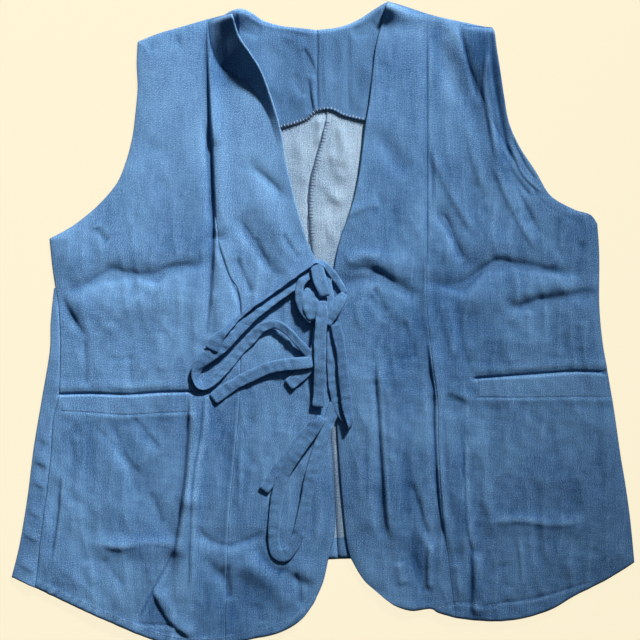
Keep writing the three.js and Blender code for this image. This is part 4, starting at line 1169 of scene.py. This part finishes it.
# %% Routes: across, down, height of the middle over the front, bank in degrees, width
TIE_WIDTH, TIE_THICKNESS = 12, 2.2
ROUTES = {
    "tie_root": [
        (345, 294, 2, 0, 6), (340, 285, 2.6, 0, 6.5), (333, 275, 4.6, 0, 7),
        (325, 265.5, 6.6, 20, 7), (317, 262, 7.4, 60, 7), (308, 267, 6.6, 70, 7),
        (292, 279, 5.4, 70, 7), (274, 292, 4.8, 70, 7), (256, 304.5, 4.8, 70, 7), (240, 317.5, 4.8, 68, 7),
        (227, 330, 5.6, 40, 9), (219, 338, 6.6, 10, 12), (212, 350, 6.8, 0, 13),
    ],
    "tie_loop_left": [
        (308, 275, 3, 0, 8), (293, 286.6, 3.6, 20, 9), (276, 299, 4.4, 25, 9.5), (258, 312.4, 4.7, 20, 10),
        (243, 326, 4.7, 10, 11), (229, 340, 4.9, 0, 13), (216, 350, 5.2, 0, 15), (206.5, 357, 5.4, 0, 15),
        (199, 366, 4.2, -20, 11), (196.5, 376, 3.4, -30, 10), (201.5, 385, 3.2, -30, 10),
        (211, 382, 3.0, -15, 10), (224, 369.5, 2.6, 0, 10), (238, 353, 2.2, 0, 10), (252, 338, 2.4, 0, 10),
        (264, 327, 4, 0, 9), (276, 324.5, 5.4, 10, 8.5), (288, 331, 5.8, 10, 8.5), (300, 344, 5.6, 5, 8.5),
        (311, 354, 4.4, 0, 10), (317, 344, 4.4, 0, 10), (319, 330, 5, 0, 10),
    ],
    "tie_tail_left": [
        (319, 327, 4.4), (318, 340, 4.4), (316, 352, 4.6), (311, 361, 5.2), (300, 363, 5.8),
        (284, 364.5, 5.6), (268, 368, 4.8), (252, 375, 3.4), (238, 382, 2.4), (225, 390, 2.1), (213, 399, 2),
    ],
    "tie_tip_left": [
        (319, 327, 2), (319, 340, 2), (317, 352, 2), (312, 362, 2), (305, 371, 2), (297, 378, 2),
        (288, 385, 2.4),
    ],
    "tie_tail_down": [
        (322, 301, 8.4, 0, 10), (322, 312, 9.2), (321, 325, 8.8), (320, 340, 8.2), (320, 355, 8.2),
        (320, 368, 7.4), (319.5, 382, 5.8), (319, 396, 4.8), (318, 407, 4.2),
    ],
    "tie_loop_down": [
        (332, 322, 2), (332, 340, 2), (332.5, 357, 2), (333.5, 375, 2, 0, 12), (335.5, 393, 2, 0, 12),
        (340, 410, 2, 0, 10), (345.5, 421, 2, 0, 7), (349, 427, 3.2, 0, 6), (349.5, 420, 4.6, 0, 8),
        (347, 407, 4.8, 0, 10), (345, 390, 4.8, 0, 11), (343, 373, 4.7, 0, 11), (341.5, 356, 4.7, 0, 10),
        (339, 340, 4.7, 0, 10), (335, 324, 4.7, 0, 10),
    ],
    "tie_lower": [
        (335, 402, 2, 0, 10), (331, 416, 2), (324, 434, 2), (317, 453, 2), (312, 470, 2), (308, 490, 2),
        (304, 511, 2), (300, 529, 2), (294, 544, 2.2), (285, 554, 2.4), (277, 551, 2.4), (274, 540, 2.2),
        (274.5, 525, 2), (276, 507, 2.2), (279, 490, 2.8), (285, 472, 4), (295, 454.5, 5),
        (308, 437, 5.6), (319, 421, 6.4, 0, 10), (321.5, 416.5, 4.4, 0, 9),
        (317, 421, 2.2, 0, 10), (306, 433, 2), (295, 447, 2), (284, 462, 2), (273, 477, 2), (263.5, 490, 2),
    ],
}
print("ties:", {name: len(rows) for name, rows in ROUTES.items()})


# %% Strips
STRIP_STEP = 1.6  # mm along a strip
SECTION = np.linspace(0, 2 * np.pi, 22, endpoint=False)
EDGE_ROUND, FACE_ROUND = 0.6, 0.8  # powers that flatten the round section of a tube
END_CLOSES = 2.0  # mm over which a strip closes at its ends
WIDTH_UNEVEN, FACE_UNEVEN = 0.05, 0.3
PINCH, PINCH_WIDTH = 0.28, 0.3  # of the shallow channel along a pressed tube


def carried_frames(line):
    """Side and upper vectors along a line. The side is carried along, and eased back to level."""
    ahead = unit(np.gradient(line, axis=0))
    side = np.cross([0, 0, 1], ahead[0])
    sides = []
    for direction in ahead:
        side = side - direction * (side @ direction)
        side /= np.linalg.norm(side)
        level = np.cross([0, 0, 1], direction)
        if np.linalg.norm(level) > 0.6:
            level *= math.copysign(1 / np.linalg.norm(level), level @ side)
            side = 0.85 * side + 0.15 * level
            side /= np.linalg.norm(side)
        sides.append(side)
    sides = np.array(sides)
    return sides, np.cross(ahead, sides)


def strip_shape(rows, thickness, seed):
    """Points, faces, cloth coordinates, wear and middle line of one strip along a route."""
    rows = np.array([tuple(row) + (0, TIE_WIDTH)[len(row) - 3:] for row in rows], float)
    base = read_map(front_map, rows[:, 0], rows[:, 1]) + CLOTH
    rows = np.column_stack([in_metres(rows[:, 0], rows[:, 1], base + rows[:, 2]) / MM, rows[:, 3:]])
    count = int(length_of(smooth_line(rows, HALVES, 3)[:, :3]) / STRIP_STEP)
    taken = smooth_line(rows, np.linspace(0, 1, count), 3)
    line, bank, width = taken[:, :3], np.radians(taken[:, 3]), taken[:, 4]
    run = run_of(steps_of(line))
    side, upper = carried_frames(line)
    tipped = side * np.cos(bank)[:, None] + upper * np.sin(bank)[:, None]
    upper = upper * np.cos(bank)[:, None] - side * np.sin(bank)[:, None]
    end = np.clip(np.minimum(run, run[-1] - run) / END_CLOSES, 0, 1)
    closing = np.sqrt(1 - (1 - end) ** 2)
    width = width * (1 + WIDTH_UNEVEN * ripples(run, 0 * run, 26, seed)) * (0.72 + 0.28 * closing)
    across = np.sign(np.cos(SECTION)) * np.abs(np.cos(SECTION)) ** EDGE_ROUND
    over = np.sign(np.sin(SECTION)) * np.abs(np.sin(SECTION)) ** FACE_ROUND
    y = width[:, None] / 2 * across
    channel = 0.25 * np.sin(run[:, None] / 17 + seed)
    pinch = 1 - PINCH * np.exp(-(((across - channel) / PINCH_WIDTH) ** 2))
    z = thickness / 2 * over * pinch * (0.15 + 0.85 * closing[:, None])
    z = z + FACE_UNEVEN * closing[:, None] * ripples(run[:, None] + 0 * y, y, 9, seed + 50)
    points = line[:, None] + y[..., None] * tipped[:, None] + z[..., None] * upper[:, None]
    n = len(SECTION)
    index = np.arange(count * n).reshape(count, n)
    a, b = index[:-1], index[1:]
    rings = np.stack([a, np.roll(a, -1, 1), np.roll(b, -1, 1), b], axis=-1).reshape(-1, 4)
    faces = rings.tolist() + [index[0][::-1].tolist(), index[-1].tolist()]
    uv = np.stack([y + 30 * (over < 0), run[:, None] + 0 * y], axis=-1) * MM
    wear_and_painted_shade = 0.25 * np.abs(across) ** 6 + 0 * y
    return points * MM, faces, uv, wear_and_painted_shade, line * MM


def strip_piece(name, shapes, finish):
    """One mesh from several strips."""
    points, faces, uv, wear_and_painted_shade, first = [], [], [], [], 0
    for shape in shapes:
        points.append(shape[0].reshape(-1, 3))
        faces += [[first + i for i in face] for face in shape[1]]
        uv.append(shape[2].reshape(-1, 2))
        wear_and_painted_shade.append(shape[3].ravel())
        first += len(points[-1])
    return piece(
        name, np.concatenate(points), faces, [finish], np.concatenate(uv), np.concatenate(wear_and_painted_shade)
    )


ties, tie_lines = {}, {}
for seed, (node, rows) in enumerate(ROUTES.items()):
    shape = strip_shape(rows, TIE_THICKNESS, seed)
    ties[node] = stand_in(strip_piece(node + "_cloth", [shape], denim_tie), node)
    tie_lines[node] = shape[4]
    print(node, round(length_of(shape[4]) * 1000), "mm long")

# %% [markdown]
# ## Lengths of the ties
# Each strand is listed with the length measured along its route. It starts where it leaves the knot or the
# front's edge. Its far end is bare or goes back into the knot, apart from the first strand's, which is
# hidden under the loop at the bow's left end. The short tip's route is 70 mm long. It is given as 73,
# because a cord has to be longer than six times its width, and the 3 mm more are taken to be inside the
# knot.

# %% Cords
CORDS = {  # far end, and the real length in metres
    "tie_root": ("knot", 0.184), "tie_loop_left": ("knot", 0.337), "tie_tail_left": ("bare", 0.143),
    "tie_tip_left": ("bare", 0.073), "tie_tail_down": ("bare", 0.106), "tie_loop_down": ("knot", 0.213),
    "tie_lower": ("bare", 0.413),
}
ON_EDGE_WIDTH = 8  # a strand that stands on its edge, folded along its middle
for node, (far_end, length) in CORDS.items():
    (ON_EDGE_WIDTH if node == "tie_root" else TIE_WIDTH) * MM

# %% [markdown]
# ## Knot of the bow
# A knot in cloth strips is a few wraps that squeeze one another. Each wrap is a short strip of its own,
# fuller than a tie because the cloth bunches up, and together they make one piece.

# %% Knot
KNOT_WRAPS = [  # thickness and route of each wrap
    (5, [(322, 268, 2.4, 0, 12), (321, 280, 2.6, 0, 20), (321, 300, 3.4, 0, 26), (321, 320, 3.0, 0, 18)]),
    (3.4, [(313, 274, 4, 0, 8), (304, 279, 5, 10, 9), (299.5, 289, 5.4, 10, 9), (300.5, 301, 5.6, 10, 10),
           (305, 312, 5.6, 10, 10), (313, 321, 5, 0, 10)]),
    (4.6, [(311, 288, 4.0, 0, 12), (311, 297, 6.2, 0, 17), (312, 308, 6.8, 0, 18), (315, 320, 5.4, 0, 13)]),
    (3.8, [(345, 294, 2.4, 0, 8), (340, 300, 4.8, 10, 11), (335, 308, 6.2, 10, 13), (329, 318, 6, 0, 12),
           (325, 325, 4.6, 0, 10)]),
    (3.2, [(316, 264, 7.4, 0, 12), (317.5, 271, 8.8, 0, 13), (320, 281, 10.2, 0, 13.5),
           (323, 290, 10.8, 0, 13), (325, 297, 10.0, 0, 12)]),
]
wraps = [strip_shape(rows, thickness, 20 + i) for i, (thickness, rows) in enumerate(KNOT_WRAPS)]
stand_in(strip_piece("tie_knot_cloth", wraps, denim_tie), "tie_knot")

# %% [markdown]
# ## Stitches
# The hems are sewn in short runs of thread, and raw edges are overlocked: thread is thrown over the edge
# again and again so that it can't fray. A stitch is a thin tube along a few points. Bare tubes are enough
# at this size, because a thread is less than a millimetre thick.

# %% Thread
THREAD = 0.7  # mm thick, as it stands in the cloth
THREAD_SIDES = 5
RUNG_UNEVEN = 0.15  # of the lengths of overlocking threads


def thread(name, deep, pale):
    """Finish of a twisted thread, between two colours."""
    finish = Finish(name, {"Roughness": 0.55, "Sheen Weight": 0.2})
    twist = finish.noise(finish.node("UVMap", {"uv_map": "cloth"}), (900, 900))
    finish.feed("Base Color", finish.between(twist, deep, pale))
    return finish.material


deep_thread = thread("thread", paint(30, 56, 92), paint(84, 116, 156))
pale_thread = thread("thread_pale", paint(110, 146, 184), paint(206, 222, 236))


def beside(line):
    """Unit vectors square to a plan line, towards one of its sides."""
    ahead = unit(np.gradient(line, axis=0))
    return np.stack([ahead[:, 1], -ahead[:, 0]], axis=-1)


def inset(line, distance, count):
    """Plan points beside a line of the cut, at a distance."""
    fine = smooth_line(line, np.linspace(0, 1, count))
    return fine + distance * beside(fine)


def runs(line, stitch, gap):
    """Short pieces of a plan line, as a running stitch shows them."""
    total = length_of(line)
    starts = (stitch + gap) * np.arange(int(total / (stitch + gap)))
    parts = stitch * np.array([0, 0.33, 0.67, 1])
    return [smooth_line(line, (start + parts) / total) for start in starts]


def rungs(line, spacing, reach, seed):
    """Short threads across the side of a plan line, as an overlocked edge shows them."""
    count = int(length_of(line) / spacing)
    middle = smooth_line(line, (np.arange(count) + 0.5) / count)
    far = reach * (1 + RUNG_UNEVEN * np.random.default_rng(seed).standard_normal(count))
    across = beside(middle) * far[:, None]
    return [[point + across_it * share for share in (0, 0.5, 1)] for point, across_it in zip(middle, across)]


def sewn(name, lines, heights, lift, finish):
    """Thin tubes along plan lines on a height map, as one mesh."""
    ring = np.linspace(0, 2 * np.pi, THREAD_SIDES, endpoint=False)
    points, faces, uv, first = [], [], [], 0
    for line in lines:
        centre = surface_points(heights, np.asarray(line), np.array(lift)) / MM
        ahead = unit(np.gradient(centre, axis=0))
        side = unit(np.cross(ahead, [0, 0, 1]))
        upper = np.cross(side, ahead)
        around = np.cos(ring)[:, None] * side[:, None] + np.sin(ring)[:, None] * upper[:, None]
        points.append((centre[:, None] + THREAD / 2 * around).reshape(-1, 3))
        index = first + np.arange(len(centre) * len(ring)).reshape(len(centre), len(ring))
        a, b = index[:-1], index[1:]
        faces += np.stack([a, b, np.roll(b, -1, 1), np.roll(a, -1, 1)], axis=-1).reshape(-1, 4).tolist()
        faces += [index[0].tolist(), index[-1][::-1].tolist()]
        uv.append(points[-1][:, :2] * MM)
        first += len(points[-1])
    piece(name, np.concatenate(points) * MM, faces, [finish], np.concatenate(uv))


# %% Where it is sewn
STITCH, STITCH_GAP, STITCH_SUNK = 2.4, 1.0, 0.15
HEM_LINES = {
    "hem_left": (inset(LEFT_HEM_SIDE[1:] + LEFT_HEM_CENTRE[1:-1], HEM_WIDTH - 1.2, 120), deep_thread),
    # The centre part of the right hem is sewn with the pale thread as a painted highlight on its stitches.
    "hem_right_centre_painted_highlight": (RIGHT_HEM_STITCHES[:6], pale_thread),
    "hem_right_side": (RIGHT_HEM_STITCHES[5:], deep_thread),
}
for name, (line, finish) in HEM_LINES.items():
    sewn(name + "_stitches", runs(line, STITCH, STITCH_GAP), front_map, CLOTH - STITCH_SUNK, finish)
facing_line = smooth_line(FACING_BOTTOM, np.linspace(0.03, 0.97, 120))
facing_rungs = rungs(facing_line, 2.9, 3.4, 61)
sewn("facing_edge_stitches", facing_rungs, facing_map, FACING_CLOTH, deep_thread)
facing_rungs = rungs(facing_line + [1.3, 0], 3.3, 2.6, 63)
sewn("facing_overlock", facing_rungs, facing_map, FACING_CLOTH + 0.2, pale_thread)
back_line = smooth_line(BACK_SEAM_UPPER, np.linspace(0.42, 0.99, 150)) + [0.8, 0]
back_rungs = rungs(back_line, 3.2, 4.4, 62)
sewn("back_seam_overlock", back_rungs + [back_line], back_map, CLOTH + 0.1, deep_thread)

# %% [markdown]
# ## The cut of each panel
# Every panel's size as it was cut is printed: its width and length are the longest row and column of its own
# grid, and its area is that of its upper face.

# %% Sheets
def measured(made):
    """Width, length and area of the upper face of a shell, in metres."""
    rows, columns = grid_sizes[made.name]
    points = np.empty(len(made.data.vertices) * 3)
    made.data.vertices.foreach_get("co", points)
    face = points.reshape(-1, rows, columns, 3)[1]
    width = np.linalg.norm(np.diff(face, axis=1), axis=-1).sum(axis=1).max()
    length = np.linalg.norm(np.diff(face, axis=0), axis=-1).sum(axis=0).max()
    diagonal, other = face[1:, 1:] - face[:-1, :-1], face[1:, :-1] - face[:-1, 1:]
    return width, length, 0.5 * np.linalg.norm(np.cross(diagonal, other), axis=-1).sum()


ON_THE_BACK = ["back_left", "back_right"]
SHEETS = {  # what the panel lies on, and what goes with it
    "back_left": (["floor"], ["side_strip"]),
    "back_right": (["floor"], []),
    "back_neck_facing": (ON_THE_BACK, []),
    **{node: (ON_THE_BACK, []) for node in FRONTS},
    "pocket_welt_left": (["front_left_side"], []),
    "pocket_welt_right": (["front_right_side"], []),
}
for node, (below, others) in SHEETS.items():
    width, length, area = measured(panels[node])
    for other in others:
        other_width, _, other_area = measured(panels[other])
        width, area = width + other_width, area + other_area
    print(f"{node}: {width * 1000:.0f} by {length * 1000:.0f} mm, {area * 1e4:.0f} cm2")

# %% [markdown]
# ## Floor, light and sky
# A plain pale floor carries the vest. It gives off a little light of its own, so that it stays an even
# cream. A soft light from the upper right, low enough to graze the folds, draws them, and a wide dim one
# fills.

# %% Floor
FLOOR_COLOUR = paint(254, 243, 213)
FLOOR_GLOW = 0.95
floor_finish = Finish("floor", {"Roughness": 1.0, "Specular IOR Level": 0.0})
floor_finish.feed("Base Color", tuple(c * (1 - FLOOR_GLOW) for c in FLOOR_COLOUR[:3]) + (1.0,))
floor_finish.feed("Emission Color", FLOOR_COLOUR)
floor_finish.feed("Emission Strength", FLOOR_GLOW)
floor_mesh = bpy.data.meshes.new("floor")
FLOOR_HALF, FLOOR_LEVEL = 3.0, -0.0002  # metres
corners = [(x * FLOOR_HALF, y * FLOOR_HALF, FLOOR_LEVEL) for x, y in ((-1, -1), (1, -1), (1, 1), (-1, 1))]
floor_mesh.from_pydata(corners, [], [(0, 1, 2, 3)])
floor_mesh.materials.append(floor_finish.material)
floor = bpy.data.objects.new("floor", floor_mesh)
bpy.context.scene.collection.objects.link(floor)
floor.visible_diffuse = False  # its glow doesn't reach the cloth


# %% Lights
def aimed_light(name, kind, target, bearing, elevation, distance, watts, **settings):
    """A light aimed at a plan point. Bearing is in degrees from the right, towards the neck."""
    lamp = bpy.data.lights.new(name, kind)
    lamp.energy = watts
    for setting, value in settings.items():
        setattr(lamp, setting, value)
    made = bpy.data.objects.new(name, lamp)
    b, e = math.radians(bearing), math.radians(elevation)
    away = np.array([math.cos(e) * math.cos(b), math.cos(e) * math.sin(b), math.sin(e)])
    made.location = in_metres(*target, 0) + distance * away
    made.rotation_euler = (math.pi / 2 - e, 0, b + math.pi / 2)
    bpy.context.scene.collection.objects.link(made)


aimed_light(
    "key_light", "SPOT", (-600, -50), bearing=50, elevation=28, distance=4.0, watts=1390,
    shadow_soft_size=0.2, spot_size=math.radians(50), spot_blend=1.0,
)
aimed_light(
    "fill_light", "AREA", (320, 320), bearing=70, elevation=60, distance=2.2, watts=3, size=1.6,
    color=(0.55, 0.8, 1.0),
)

SKY_COLOUR, SKY_STRENGTH = (0.5, 0.78, 1.0, 1.0), 0.04
world = bpy.data.worlds.new("sky")
world.use_nodes = True
sky = world.node_tree.nodes["Background"].inputs
sky["Color"].default_value = SKY_COLOUR
sky["Strength"].default_value = SKY_STRENGTH
bpy.context.scene.world = world
bpy.context.scene.view_settings.view_transform = "Standard"
bpy.context.scene.view_settings.look = "None"
